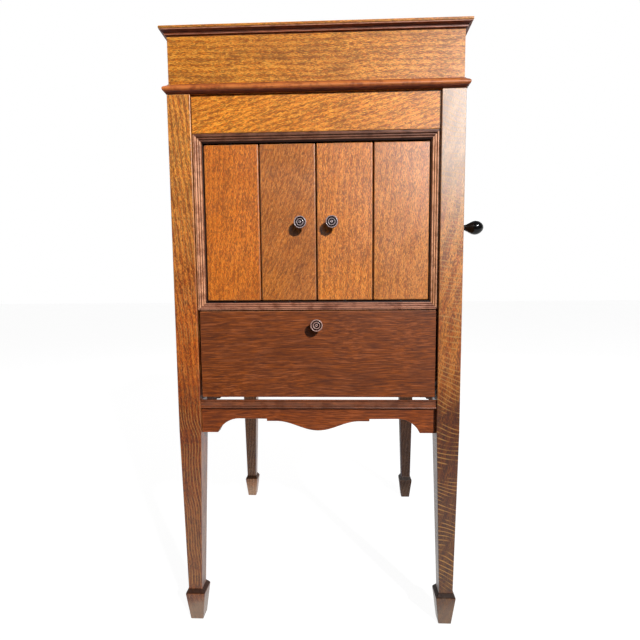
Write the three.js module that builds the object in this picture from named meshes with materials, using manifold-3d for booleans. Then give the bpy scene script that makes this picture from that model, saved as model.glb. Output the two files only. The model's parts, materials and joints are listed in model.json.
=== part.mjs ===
// A floor-standing oak gramophone cabinet on tapered legs with spade feet.
// Millimetres, +Z up. The shapes are drawn about the cabinet's mid-plane (x = 0) and the front face
// of its legs (y = 0); the group at the end moves them so that the origin is the middle of the
// bounding box at floor level.
import * as THREE from "three";
import { mergeVertices } from "three/addons/utils/BufferGeometryUtils.js";
import Module from "manifold-3d";

const wasm = await Module();
wasm.setup();

// ---------------------------------------------------------------- driving dimensions

const HALF_WIDTH = 235; // over the outer faces of the legs
const DEPTH = 500; // front face to rear face of the legs
const CASE_TOP = 889.5; // top of legs, rails and panels
const LEG = 37.5; // square of a leg
const INNER = HALF_WIDTH - LEG; // half the width between the legs
const FIT = 0.3; // clearance between boards that are let into each other
const RUNNING = 0.1; // radial clearance of a pin or shaft in its hole
const ORIGIN = new THREE.Vector3(-50, -245, 0);

// legs: the taper starts under the aprons and ends in a spade foot
const TAPER_TOP = 345;
const ANKLE = { z: 62, inset: 4.4, width: 23.8 };
const FOOT = { z: 51, inset: 0, width: 34 };
const TOE = { z: 0, inset: 6, width: 22 };

// front of the case, from the top down
const RAIL_FRONT = 5; // set-back of the frieze rail from the legs' faces
const FRIEZE_BOTTOM = 831;
const FRAME = { top: 831, bottom: 548, width: 14, front: 5, back: 27 };
const GROOVE = { reach: 168, top: 823.5, front: 11.5 }; // room for the links inside the frame's head
const FLAP = { halfWidth: 195.4, bottom: 401.5, top: 546.3, front: 6, back: 22 };
const FLAP_AXIS = { y: 14, z: 416.5, pin: 3 };
const FRONT_RAIL = { bottom: 383, top: 397.2, front: 2.6, back: 8 };
const APRON = { top: 389, front: 8, back: 24 };

// shaped lower edge that the aprons share, from the legs to the middle
const APRON_EDGE = {
  bracketZ: 339.8,
  cove: { fromLeg: 63.5, z: 323.4, radius: 40.6, start: 24 },
  flatZ: 363.5,
  stepZ: 359.7,
  stepX: 86.8,
  dropHalf: 70,
  dropZ: 343.5,
};

// louvre leaves: two pairs, turning about pins in the frame's head and sill
const LEAF = { inner: 46.2, outer: 138, innerWidth: 90.4, outerWidth: 89.2 };
const LEAF_Y = 17;
const LEAF_THICK = 9.5;
const LEAF_BOTTOM = 563.6;
const LEAF_TOP = 815.6;
const LEAF_EDGE_RADIUS = 2.4;
const PIVOT_RADIUS = 2.5;
const DRIVE_PIN = 1.2;
const ARM = { dx: 8.2, dy: 9.7, z0: 817.6, z1: 819.2 }; // crank arm on a leaf's top pin
const LINK = { z0: 819.6, z1: 821.2, pinTop: 822.4, halfWidth: 3.4 };

// knobs
const KNOB_X = 25.4;
const KNOB_Z = 688.6;
const FLAP_KNOB_Z = 523.3;
const KNOB_LENGTH = 20;

// sides and back
const SIDE = { outer: 230, inner: 220, bottom: 383 };
const SIDE_APRON = { outer: 227, inner: 212 };
const BACK_FRONT = 488;

// shelves
const MOTOR_BOARD = { bottom: 866, top: 880 };
const COMPARTMENT_TOP = { bottom: 548, top: 560 };
const COMPARTMENT_FLOOR = { bottom: 424.8, top: 434.8 };

// lid
const LID = { half: 232.3, front: 2.7, back: 500, bottom: 889.9, boardBottom: 977, thick: 14 };
const LID_TOP_LEVELS = [
  // height, overhang
  [977, 0.4],
  [977.8, 0.6],
  [978.4, 3],
  [980.6, 3.2],
  [981.2, 4.4],
  [982, 6],
  [982.8, 7.6],
  [983.6, 8.6],
  [984.7, 8.6],
  [984.9, 9.7],
  [988.3, 9.7],
  [989, 9],
];
const BEAD_PROFILE = [
  // overhang, height
  [0, 890],
  [3.9, 890],
  [6.3, 891.6],
  [7.8, 894],
  [8.2, 896.5],
  [7.4, 899.1],
  [5, 901.9],
  [2.2, 904.4],
  [1.2, 905.6],
  [0, 905.6],
];
const HINGE = { y: 502.1, z: 889.7, radius: 1.9, pin: 0.9, half: 210, knuckles: 11, plate: 1, reach: 22 };
const STAY = { x: -218, thick: 2, radius: 170, half: 4, from: -15, to: 75 };
const STAY_GUIDE = { bottom: 856, top: 865.7 };

// turntable, tonearm and motor
const SPINDLE = { x: 0, y: 208, radius: 3.6, bottom: 755, top: 912 };
const PLATTER = { radius: 152, bottom: 886, top: 896 };
const FELT = { radius: 150, bottom: 896.3, top: 898 };
const TONEARM = { x: 95, y: 425, length: 240, parked: 25, height: 943, stem: 15 };
const SOUNDBOX = { radius: 27, x: -18, z: 928, thick: 13, needleTip: 900.4 };
const BRAKE = { x: -158, y: 92, reach: 40, rest: 42 };
const SPEED = { x: 150, y: 66, reach: 30 };
const LEVER_PIN = 2.4;
const TRAY = { x0: 160, x1: 212, y0: 96, y1: 130, depth: 12, wall: 1.4 };
const PINION_TEETH = 12;
const BARREL_TEETH = 96;
const GEAR_MODULE = 1;
const BARREL_ANGLE = THREE.MathUtils.degToRad(35);
const GEAR_CENTRES = (GEAR_MODULE * (PINION_TEETH + BARREL_TEETH)) / 2 + 0.35;
const BARREL = {
  x: SPINDLE.x + GEAR_CENTRES * Math.cos(BARREL_ANGLE),
  y: SPINDLE.y + GEAR_CENTRES * Math.sin(BARREL_ANGLE),
  radius: 44,
  bottom: 766,
  gearTop: 772,
  top: 800,
};
const ARBOR = 5;
const CROWN = { teeth: 36, inner: 30, outer: 38, bottom: 801, discTop: 804.4, top: 807.6 };
const WORM_WHEEL = { teeth: 48, radius: 24, bottom: 832, top: 838 };
const GOVERNOR = { x: -29.6, z: 835, front: 159, back: 283, radius: 2 };
const FRAME_PLATE = { x0: -62, x1: 104, y0: 136, y1: 296, top: 866, thick: 6, bottom: 757, base: 5 };
const PILLAR_RADIUS = 6;

// winding crank
const CRANK = { y: BARREL.y, z: 818, handleZ: 712.8, armX: 284, rod: 5, shaft: 5.5 };
const WINDING_PINION = { teeth: 12, x0: 74, x1: 82.4, root: 8.7, tip: 12.6 };
const GRIP = { start: 292.6, end: 342, bore: 3.6, pin: 3.5 };

// horn: a mouth behind the leaves, folded back and up to the tonearm
const HORN_WALL = 3.5;
const HORN_STATIONS = [
  // centre x, y, z, half width, half height, tilt from vertical, squareness
  [0, 66, 689, 178, 124, 90, 1],
  [0, 98, 672, 166, 105, 88, 0.95],
  [2, 150, 650, 140, 80, 86, 0.85],
  [8, 220, 638, 108, 60, 84, 0.7],
  [22, 300, 636, 78, 46, 76, 0.5],
  [52, 366, 652, 52, 36, 55, 0.3],
  [84, 410, 702, 34, 29, 24, 0.1],
  [95, 425, 780, 25, 25, 0, 0],
  [95, 425, 861.6, 21, 21, 0, 0],
];
const HORN_SIDES = 24;

// ---------------------------------------------------------------- finishes

const finish = (color, roughness, metalness = 0) =>
  new THREE.MeshStandardMaterial({ color, roughness, metalness });
const OAK = finish(0xb5722f, 0.45);
const DARK_OAK = finish(0x5a3020, 0.45);
const RED_OAK = finish(0x7a4226, 0.5);
const LEAF_OAK = finish(0xb06a26, 0.45);
const KNOB_WOOD = finish(0x3a2224, 0.3);
const PLAIN_WOOD = finish(0x8a5a30, 0.6);
const BRASS = finish(0xb08d4a, 0.35, 1);
const NICKEL = finish(0xc8c6c0, 0.25, 1);
const STEEL = finish(0x8d8f92, 0.4, 1);
const IRON = finish(0x33353a, 0.6, 0.6);
const EBONY = finish(0x0b0b0d, 0.15);
const FELT_GREEN = finish(0x2f4a34, 0.95);

// ---------------------------------------------------------------- geometry helpers

const radians = THREE.MathUtils.degToRad;
const SHAPE_TO_XZ = new THREE.Matrix4().makeRotationX(Math.PI / 2);
const SHAPE_TO_YZ = new THREE.Matrix4().set(0, 0, 1, 0, 1, 0, 0, 0, 0, 1, 0, 0, 0, 0, 0, 1);

// The same surface with its faces pointing out, whichever way its points ran.
function facingOut(geometry) {
  const merged = geometry.clone();
  merged.deleteAttribute("normal");
  merged.deleteAttribute("uv");
  const welded = mergeVertices(merged, 1e-4);
  const p = welded.attributes.position.array;
  const faces = [];
  let volume = 0;
  const index = welded.index.array;
  for (let i = 0; i < index.length; i += 3) {
    const [a, b, c] = [index[i], index[i + 1], index[i + 2]];
    if (a === b || b === c || c === a) continue;
    faces.push(a, b, c);
    const [ax, ay, az] = [p[3 * a], p[3 * a + 1], p[3 * a + 2]];
    const [bx, by, bz] = [p[3 * b], p[3 * b + 1], p[3 * b + 2]];
    const [cx, cy, cz] = [p[3 * c], p[3 * c + 1], p[3 * c + 2]];
    volume += ax * (by * cz - bz * cy) + ay * (bz * cx - bx * cz) + az * (bx * cy - by * cx);
  }
  if (volume < 0) faces.reverse();
  welded.setIndex(faces);
  return welded;
}

// A block between two corners.
function block(x0, x1, y0, y1, z0, z1) {
  const geometry = new THREE.BoxGeometry(x1 - x0, y1 - y0, z1 - z0);
  return geometry.translate((x0 + x1) / 2, (y0 + y1) / 2, (z0 + z1) / 2);
}

function shapeOf(outline) {
  return new THREE.Shape(outline.map(([x, y]) => new THREE.Vector2(x, y)));
}

// An outline in x and y, between two heights.
function plateXY(outline, z0, z1) {
  const geometry = new THREE.ExtrudeGeometry(shapeOf(outline), { depth: z1 - z0, bevelEnabled: false });
  return geometry.translate(0, 0, z0);
}

// An outline in x and z, between two depths.
function plateXZ(outline, y0, y1) {
  const geometry = new THREE.ExtrudeGeometry(shapeOf(outline), { depth: y1 - y0, bevelEnabled: false });
  return geometry.applyMatrix4(SHAPE_TO_XZ).translate(0, y1, 0);
}

// An outline in y and z, between two widths.
function plateYZ(outline, x0, x1) {
  const geometry = new THREE.ExtrudeGeometry(shapeOf(outline), { depth: x1 - x0, bevelEnabled: false });
  return geometry.applyMatrix4(SHAPE_TO_YZ).translate(x0, 0, 0);
}

// Closed loops of [x, y, z] points joined one to the next, capped at both ends or run into a ring.
function loft(loops, { ring = false, cap = null } = {}) {
  const count = loops[0].length;
  const position = new Float32Array(loops.flat(2));
  const index = [];
  const rows = ring ? loops.length : loops.length - 1;
  for (let i = 0; i < rows; i++) {
    const [here, next] = [i * count, ((i + 1) % loops.length) * count];
    for (let j = 0; j < count; j++) {
      const k = (j + 1) % count;
      index.push(here + j, here + k, next + k, here + j, next + k, next + j);
    }
  }
  if (!ring) {
    const last = (loops.length - 1) * count;
    const fan = Array.from({ length: count - 2 }, (_, i) => [0, i + 1, i + 2]);
    for (const [a, b, c] of cap ?? fan) {
      index.push(c, b, a, last + a, last + b, last + c);
    }
  }
  const geometry = new THREE.BufferGeometry();
  geometry.setAttribute("position", new THREE.BufferAttribute(position, 3));
  geometry.setIndex(index);
  return facingOut(geometry);
}

// A profile of [overhang, height] points run along mitred stations of the plan.
function mitredStrip(profile, stations) {
  const cap = THREE.ShapeUtils.triangulateShape(profile.map(([o, h]) => new THREE.Vector2(o, h)), []);
  return loft(
    stations.map((at) => profile.map(([overhang, height]) => at(overhang, height))),
    { cap },
  );
}

// A turned piece: [radius, height] points about +Z.
function turned(profile, segments) {
  const points = profile.map(([radius, height]) => new THREE.Vector2(radius, height));
  return facingOut(new THREE.LatheGeometry(points, segments).rotateX(Math.PI / 2));
}

const upright = (geometry, x, y, z) => geometry.translate(x, y, z);
const alongX = (geometry, x, y, z) => geometry.rotateY(Math.PI / 2).translate(x, y, z);
const alongFront = (geometry, x, y, z) => geometry.rotateX(Math.PI / 2).translate(x, y, z);

function rodZ(radius, x, y, z0, z1, segments = 16) {
  const profile = [[0, z0], [radius, z0], [radius, z1], [0, z1]];
  return upright(turned(profile, segments), x, y, 0);
}

function rodX(radius, y, z, x0, x1, segments = 16) {
  const profile = [[0, x0], [radius, x0], [radius, x1], [0, x1]];
  return alongX(turned(profile, segments), 0, y, z);
}

function rodY(radius, x, z, y0, y1, segments = 16) {
  const profile = [[0, -y1], [radius, -y1], [radius, -y0], [0, -y0]];
  return alongFront(turned(profile, segments), x, 0, z);
}

// A round tube of changing radius along a smooth path.
function sweep(points, radii, sides, steps) {
  const curve = new THREE.CatmullRomCurve3(points.map((p) => new THREE.Vector3(...p)), false, "centripetal");
  const frames = curve.computeFrenetFrames(steps, false);
  const loops = [];
  for (let i = 0; i <= steps; i++) {
    const u = i / steps;
    const centre = curve.getPointAt(u);
    const place = u * (radii.length - 1);
    const slot = Math.min(Math.floor(place), radii.length - 2);
    const radius = THREE.MathUtils.lerp(radii[slot], radii[slot + 1], place - slot);
    const loop = [];
    for (let j = 0; j < sides; j++) {
      const a = (2 * Math.PI * j) / sides;
      const point = centre
        .clone()
        .addScaledVector(frames.normals[i], radius * Math.cos(a))
        .addScaledVector(frames.binormals[i], radius * Math.sin(a));
      loop.push(point.toArray());
    }
    loops.push(loop);
  }
  return loft(loops);
}

// A toothed outline, with a tooth on the angle `phase`.
function toothed(teeth, root, tip, phase = 0, share = 0.46) {
  const pitch = (2 * Math.PI) / teeth;
  const outline = [];
  for (let i = 0; i < teeth; i++) {
    const middle = phase + i * pitch;
    const corners = [
      [root, -share / 2 - 0.06],
      [tip, -share / 2 + 0.12],
      [tip, share / 2 - 0.12],
      [root, share / 2 + 0.06],
    ];
    for (const [radius, offset] of corners) {
      const angle = middle + offset * pitch;
      outline.push([radius * Math.cos(angle), radius * Math.sin(angle)]);
    }
  }
  return outline;
}

// ---------------------------------------------------------------- joins and cuts

function solidOf(geometry) {
  const welded = facingOut(geometry);
  const mesh = new wasm.Mesh({
    numProp: 3,
    vertProperties: welded.attributes.position.array,
    triVerts: new Uint32Array(welded.index.array),
  });
  return new wasm.Manifold(mesh);
}

function geometryOf(solid) {
  const mesh = solid.getMesh();
  const geometry = new THREE.BufferGeometry();
  geometry.setAttribute("position", new THREE.BufferAttribute(mesh.vertProperties, 3));
  geometry.setIndex(new THREE.BufferAttribute(mesh.triVerts, 1));
  return geometry;
}

function join(first, ...others) {
  return geometryOf(others.reduce((solid, other) => solid.add(solidOf(other)), solidOf(first)));
}

function cut(first, ...others) {
  return geometryOf(others.reduce((solid, other) => solid.subtract(solidOf(other)), solidOf(first)));
}

function common(first, other) {
  return geometryOf(solidOf(first).intersect(solidOf(other)));
}

// ---------------------------------------------------------------- the model

const cabinet = new THREE.Group();
cabinet.position.copy(ORIGIN);

function add(name, geometry, material, parent = cabinet) {
  const shape = geometry.index ? geometry.toNonIndexed() : geometry;
  shape.deleteAttribute("normal");
  shape.computeVertexNormals();
  const mesh = new THREE.Mesh(shape, material);
  mesh.name = name;
  parent.add(mesh);
  return mesh;
}

const SIDES = [
  ["left", -1],
  ["right", 1],
];

// A leg from the top of the case down to the toe of its spade foot, drawn for the front right corner
// and mirrored: its outer faces taper a little, its inner faces more.
function leg(side, rear) {
  const square = ({ z, inset, width }) => {
    const xs = [HALF_WIDTH - inset, HALF_WIDTH - inset - width].map((x) => side * x);
    const ys = [inset, inset + width].map((y) => (rear ? DEPTH - y : y));
    return [[xs[0], ys[0], z], [xs[1], ys[0], z], [xs[1], ys[1], z], [xs[0], ys[1], z]];
  };
  const straight = (z) => ({ z, inset: 0, width: LEG });
  return loft([TOE, FOOT, ANKLE, straight(TAPER_TOP), straight(CASE_TOP)].map(square));
}

// The flap's pin, or with a clearance the hole for it, on either side.
function flapPin(clearance, a, b) {
  const { y, z, pin } = FLAP_AXIS;
  return rodX(pin + clearance, y, z, Math.min(a, b), Math.max(a, b));
}

function addLegs() {
  for (const [name, side] of SIDES) {
    const pinHole = flapPin(RUNNING, side * (INNER - 1), side * (INNER + 10));
    add(`leg_front_${name}`, cut(leg(side, false), pinHole), OAK);
    add(`leg_rear_${name}`, leg(side, true), OAK);
  }
}

// An apron's outline. Its lower edge runs from each leg by a bracket, a cove, a flat and a step to a
// rounded drop in the middle.
function apronOutline(half, top) {
  const { bracketZ, cove, flatZ, stepZ, stepX, dropHalf, dropZ } = APRON_EDGE;
  const edge = [[half, bracketZ]];
  const coveSteps = 6;
  for (let i = 0; i <= coveSteps; i++) {
    const a = radians(cove.start + (90 - cove.start) * (i / coveSteps));
    edge.push([half - cove.fromLeg + cove.radius * Math.cos(a), cove.z + cove.radius * Math.sin(a)]);
  }
  edge.push([stepX, flatZ], [stepX, stepZ]);
  const dropSteps = 8;
  for (let i = 0; i < dropSteps; i++) {
    const fall = (1 - Math.cos((Math.PI * i) / dropSteps)) / 2;
    edge.push([dropHalf * (1 - i / dropSteps), stepZ - (stepZ - dropZ) * fall]);
  }
  const mirrored = edge.map(([x, z]) => [-x, z]);
  return [[half, top], [-half, top], ...mirrored, [0, dropZ], ...edge.reverse()];
}

function addFrontRails() {
  add("frieze_rail", block(-INNER, INNER, RAIL_FRONT, 23, FRIEZE_BOTTOM, CASE_TOP), OAK);
  const { bottom, top, front, back } = FRONT_RAIL;
  const profile = [
    [back, bottom],
    [back, top],
    [front + 1.6, top],
    [front + 0.5, top - 0.9],
    [front + 1.4, top - 1.9],
    [front + 0.9, top - 2.6],
    [front + 0.9, bottom + 3],
    [front, bottom + 2.2],
    [front, bottom + 0.6],
    [front + 0.8, bottom],
  ];
  add("front_rail", plateYZ(profile, -INNER, INNER), DARK_OAK);
  add("front_apron", plateXZ(apronOutline(INNER, APRON.top), APRON.front, APRON.back), DARK_OAK);
}

// The reeded moulding round the louvres: two reeds with a quirk between, from outer edge to inner.
function frameProfile() {
  const { front, back, width } = FRAME;
  const profile = [[0, back], [0, front + 1.6], [1.6, front + 1.6]];
  const reed = (from, to, foot, rise) => {
    for (let i = 0; i <= 4; i++) {
      const a = (Math.PI * i) / 4;
      const across = (from + to) / 2 - ((to - from) / 2) * Math.cos(a);
      profile.push([across, foot - rise * Math.sin(a)]);
    }
  };
  reed(1.8, 6.4, front + 1.4, 1.6);
  reed(7.4, 12.2, front + 2.2, 1.8);
  profile.push([width, front + 4.6], [width, back]);
  return profile;
}

function addLouvreFrame() {
  const profile = frameProfile();
  const gap = 0.1; // glue line of a mitre
  const { top, bottom } = FRAME;
  const corner = (sx, sz) => (inset) => {
    const z = sz > 0 ? top - inset : bottom + inset;
    return [sx * (INNER - inset), z];
  };
  const strip = (from, to, shift) =>
    mitredStrip(profile, [
      (inset, y) => [from(inset)[0] + shift[0], y, from(inset)[1] + shift[1]],
      (inset, y) => [to(inset)[0] - shift[0], y, to(inset)[1] + shift[2]],
    ]);
  const head = strip(corner(-1, 1), corner(1, 1), [gap, 0, 0]);
  const sill = strip(corner(-1, -1), corner(1, -1), [gap, 0, 0]);
  const groove = block(-GROOVE.reach, GROOVE.reach, GROOVE.front, FRAME.back + 1, FRAME.top - 20, GROOVE.top);
  const centres = [-LEAF.outer, -LEAF.inner, LEAF.inner, LEAF.outer];
  const topHoles = centres.map((x) => rodZ(PIVOT_RADIUS + RUNNING, x, LEAF_Y, GROOVE.top - 1, 829));
  const sillHoles = centres.map((x) => rodZ(PIVOT_RADIUS + RUNNING, x, LEAF_Y, 552, 566));
  add("louvre_frame_head", cut(head, groove, ...topHoles), DARK_OAK);
  add("louvre_frame_sill", cut(sill, ...sillHoles), DARK_OAK);
  for (const [name, side] of SIDES) {
    const from = corner(side, -1);
    const to = corner(side, 1);
    const jamb = mitredStrip(profile, [
      (inset, y) => [from(inset)[0], y, from(inset)[1] + gap],
      (inset, y) => [to(inset)[0], y, to(inset)[1] - gap],
    ]);
    add(`louvre_frame_jamb_${name}`, jamb, DARK_OAK);
  }
}

function addSidesAndBack() {
  const [y0, y1] = [LEG, DEPTH - LEG];
  const sideOutline = apronOutline((y1 - y0) / 2, SIDE.bottom).map(([y, z]) => [y + DEPTH / 2, z]);
  for (const [name, side] of SIDES) {
    const xs = [side * SIDE.inner, side * SIDE.outer].sort((a, b) => a - b);
    let panel = block(xs[0], xs[1], y0, y1, SIDE.bottom, CASE_TOP);
    if (side > 0) panel = cut(panel, rodX(9, CRANK.y, CRANK.z, SIDE.inner - 2, SIDE.outer + 2, 20));
    add(`side_panel_${name}`, panel, OAK);
    const apron = [side * SIDE_APRON.inner, side * SIDE_APRON.outer].sort((a, b) => a - b);
    add(`side_apron_${name}`, plateYZ(sideOutline, apron[0], apron[1]), DARK_OAK);
  }
  add("back_panel", block(-INNER, INNER, BACK_FRONT, DEPTH, TAPER_TOP, CASE_TOP), OAK);
}

// A shelf let round the four legs, from `front` to the back panel.
function shelfOutline(front) {
  const [wide, narrow] = [SIDE.inner - FIT, INNER - FIT];
  const [legFront, legRear] = [LEG + FIT, DEPTH - LEG - FIT];
  const back = BACK_FRONT - FIT;
  const right = [
    [narrow, front],
    [narrow, legFront],
    [wide, legFront],
    [wide, legRear],
    [narrow, legRear],
    [narrow, back],
  ];
  return [...right, ...right.map(([x, y]) => [-x, y]).reverse()];
}

function addShelves() {
  const shelf = (front, { bottom, top }) => plateXY(shelfOutline(front), bottom, top);
  add("compartment_top", shelf(FRAME.back + FIT, COMPARTMENT_TOP), PLAIN_WOOD);
  add("compartment_floor", shelf(FLAP.back + 0.5, COMPARTMENT_FLOOR), PLAIN_WOOD);
  const { bottom, top } = MOTOR_BOARD;
  const board = shelf(23 + FIT, MOTOR_BOARD);
  const through = (radius, x, y, segments) => rodZ(radius, x, y, bottom - 2, top + 2, segments);
  const stayY = HINGE.y - STAY.radius;
  add(
    "motor_board",
    cut(
      board,
      through(9, SPINDLE.x, SPINDLE.y, 16),
      through(23, TONEARM.x, TONEARM.y, 24),
      through(LEVER_PIN + RUNNING, BRAKE.x, BRAKE.y, 16),
      through(LEVER_PIN + RUNNING, SPEED.x, SPEED.y, 16),
      block(-SIDE.inner - 1, -SIDE.inner + 6, stayY - 8, stayY + 10, bottom - 2, top + 2),
      block(TRAY.x0 - FIT, TRAY.x1 + FIT, TRAY.y0 - FIT, TRAY.y1 + FIT, bottom - 2, top + 2),
    ),
    DARK_OAK,
  );
}

// ---------------------------------------------------------------- louvre leaves

// A leaf with rounded edges, pins at top and bottom and a crank arm on the top pin.
function leafGeometry(x, width, side) {
  const r = LEAF_EDGE_RADIUS;
  const [hx, hy] = [width / 2, LEAF_THICK / 2];
  const outline = [];
  for (const [cx, cy, start] of [[hx, hy, 0], [-hx, hy, 90], [-hx, -hy, 180], [hx, -hy, 270]]) {
    for (const a of [0, 45, 90]) {
      const angle = radians(start + a);
      outline.push([
        x + cx - Math.sign(cx) * r + r * Math.cos(angle),
        LEAF_Y + cy - Math.sign(cy) * r + r * Math.sin(angle),
      ]);
    }
  }
  const board = plateXY(outline, LEAF_BOTTOM, LEAF_TOP);
  const lowerPin = rodZ(PIVOT_RADIUS, x, LEAF_Y, 553, LEAF_BOTTOM + 5, 12);
  const upperPin = rodZ(PIVOT_RADIUS, x, LEAF_Y, LEAF_TOP - 5, 828, 12);
  const tip = [x + side * ARM.dx, LEAF_Y + ARM.dy];
  const arm = bar([x, LEAF_Y], tip, 3.2, ARM.z0, ARM.z1);
  const drivePin = rodZ(DRIVE_PIN, tip[0], tip[1], ARM.z0, LINK.pinTop, 10);
  return join(board, lowerPin, upperPin, arm, drivePin);
}

// A flat bar with round ends between two points of the plan.
function bar([x0, y0], [x1, y1], half, z0, z1, steps = 4) {
  const along = Math.atan2(y1 - y0, x1 - x0);
  const outline = [];
  for (const [cx, cy, start] of [[x1, y1, along - Math.PI / 2], [x0, y0, along + Math.PI / 2]]) {
    for (let i = 0; i <= steps; i++) {
      const a = start + (Math.PI * i) / steps;
      outline.push([cx + half * Math.cos(a), cy + half * Math.sin(a)]);
    }
  }
  return plateXY(outline, z0, z1);
}

// A turned knob with a rim, a sunk ring and a boss in the middle; height is measured from its seat.
function knobGeometry() {
  const profile = [
    [0, 0],
    [6.6, 0],
    [6.6, 1.4],
    [5, 2.4],
    [4.6, 8],
    [7.4, 10.6],
    [10, 12.6],
    [10.2, 15],
    [9.2, 17.2],
    [7.8, 17.8],
    [6.8, 16.4],
    [5, 16.4],
    [4.4, 18.4],
    [2.6, 19.6],
    [0, KNOB_LENGTH],
  ];
  return turned(profile, 20);
}

function addLouvres() {
  for (const [name, side] of SIDES) {
    const group = new THREE.Group();
    cabinet.add(group);
    add(`louvre_inner_${name}`, leafGeometry(side * LEAF.inner, LEAF.innerWidth, side), LEAF_OAK, group);
    add(`louvre_outer_${name}`, leafGeometry(side * LEAF.outer, LEAF.outerWidth, side), LEAF_OAK, group);
    const seat = LEAF_Y - LEAF_THICK / 2;
    add(`louvre_knob_${name}`, alongFront(knobGeometry(), side * KNOB_X, seat, KNOB_Z), KNOB_WOOD, group);
    const y = LEAF_Y + ARM.dy;
    const ends = [LEAF.inner, LEAF.outer].map((x) => side * (x + ARM.dx));
    const plain = bar([ends[0], y], [ends[1], y], LINK.halfWidth, LINK.z0, LINK.z1);
    const hole = (x, clearance) => rodZ(DRIVE_PIN + clearance, x, y, LINK.z0 - 1, LINK.z1 + 1, 16);
    add(`louvre_link_${name}`, cut(plain, hole(ends[0], RUNNING), hole(ends[1], 0.5)), BRASS, group);
  }
}

// ---------------------------------------------------------------- record flap

function addFlap() {
  const { halfWidth, bottom, top, front, back } = FLAP;
  const board = block(-halfWidth, halfWidth, front, back, bottom, top);
  const holes = SIDES.map(([, side]) => flapPin(RUNNING, side * (halfWidth - 14), side * (halfWidth + 2)));
  add("record_flap", cut(board, ...holes), RED_OAK);
  add("flap_knob", alongFront(knobGeometry(), 0, front, FLAP_KNOB_Z), KNOB_WOOD);
  for (const [name, side] of SIDES) {
    add(`flap_pin_${name}`, flapPin(0, side * (halfWidth - 13), side * (INNER + 9.5)), STEEL);
  }
}

// ---------------------------------------------------------------- lid

function addLid() {
  const group = new THREE.Group();
  cabinet.add(group);
  const { half, front, back, bottom, boardBottom, thick } = LID;
  const ring = LID_TOP_LEVELS.map(([z, over]) => [
    [-half - over, front - over, z],
    [half + over, front - over, z],
    [half + over, back, z],
    [-half - over, back, z],
  ]);
  add("lid_top", loft(ring), OAK, group);
  add("lid_front", block(-half, half, front, front + thick, bottom, boardBottom), OAK, group);
  add("lid_back", block(-half, half, back - thick, back, bottom, boardBottom), OAK, group);
  for (const [name, sign] of SIDES) {
    const xs = [sign * (half - thick), sign * half].sort((a, b) => a - b);
    const side = block(xs[0], xs[1], front + thick, back - thick, bottom, boardBottom);
    add(`lid_side_${name}`, side, OAK, group);
  }
  const bead = mitredStrip(BEAD_PROFILE, [
    (over, z) => [-half - over, back, z],
    (over, z) => [-half - over, front - over, z],
    (over, z) => [half + over, front - over, z],
    (over, z) => [half + over, back, z],
  ]);
  add("lid_bead", bead, DARK_OAK, group);
  addLidHinge(group);
  addLidStay(group);
}

// A full-length hinge: its knuckles belong in turn to the case leaf, which carries the pin, and the lid leaf.
function addLidHinge(group) {
  const { y, z, radius, pin, half, knuckles, plate, reach } = HINGE;
  const length = (2 * half) / knuckles;
  const leaves = { case: [], lid: [] };
  for (let i = 0; i < knuckles; i++) {
    const x0 = -half + i * length + FIT / 2;
    const barrel = rodX(radius, y, z, x0, x0 + length - FIT, 12);
    leaves[i % 2 ? "lid" : "case"].push([x0, x0 + length - FIT, barrel]);
  }
  const web = (x0, x1, z0, z1) => block(x0, x1, DEPTH, DEPTH + plate, z0, z1);
  const casePlate = web(-half, half, z - reach, z - radius - FIT);
  const caseWebs = leaves.case.map(([x0, x1]) => web(x0, x1, z - radius - 1, z));
  const caseBarrels = leaves.case.map(([, , barrel]) => barrel);
  const rod = rodX(pin, y, z, -half + 1, half - 1, 10);
  add("case_hinge_leaf", join(casePlate, ...caseWebs, ...caseBarrels, rod), BRASS);
  const lidPlate = web(-half, half, z + radius + FIT, z + reach);
  const lidWebs = leaves.lid.map(([x0, x1]) => web(x0, x1, z, z + radius + 1));
  const lidBarrels = leaves.lid.map(([, , barrel]) => barrel);
  const bore = rodX(pin + RUNNING, y, z, -half - 1, half + 1, 16);
  add("lid_hinge_leaf", cut(join(lidPlate, ...lidWebs, ...lidBarrels), bore), BRASS, group);
}

// The stay is an arc about the hinge, fixed to the lid's left side and sliding in a guide on the case.
function addLidStay(group) {
  const { x, thick, radius, half, from, to } = STAY;
  const steps = 16;
  const arc = (r, order) =>
    Array.from({ length: steps + 1 }, (_, i) => {
      const a = radians(from + ((to - from) * (order > 0 ? i : steps - i)) / steps);
      return [HINGE.y - r * Math.cos(a), HINGE.z - r * Math.sin(a)];
    });
  const outline = [...arc(radius + half, 1), ...arc(radius - half, -1)];
  add("lid_stay", plateYZ(outline, x, x + thick), BRASS, group);
  const { bottom, top } = STAY_GUIDE;
  const middle = HINGE.y - radius * Math.cos(Math.asin((HINGE.z - (bottom + top) / 2) / radius));
  const body = block(-SIDE.inner, x + thick + 2.5, middle - 11, middle + 11, bottom, top);
  const slot = block(x - 0.8, x + thick + 0.5, middle - 6.4, middle + 6.4, bottom - 1, top + 1);
  add("lid_stay_guide", cut(body, slot), BRASS);
}

// ---------------------------------------------------------------- deck

// A pressed tray let into the deck, with one well for new needles and one for used ones.
function needleTray() {
  const { x0, x1, y0, y1, depth, wall } = TRAY;
  const top = MOTOR_BOARD.top;
  const body = block(x0, x1, y0, y1, top - depth, top);
  const lip = block(x0 - 2, x1 + 2, y0 - 2, y1 + 2, top, top + 1.4);
  const middle = (x0 + x1) / 2;
  const well = (a, b) => block(a, b, y0 + wall, y1 - wall, top - depth + wall, top + 3);
  return cut(join(body, lip), well(x0 + wall, middle - wall / 2), well(middle + wall / 2, x1 - wall));
}

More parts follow.
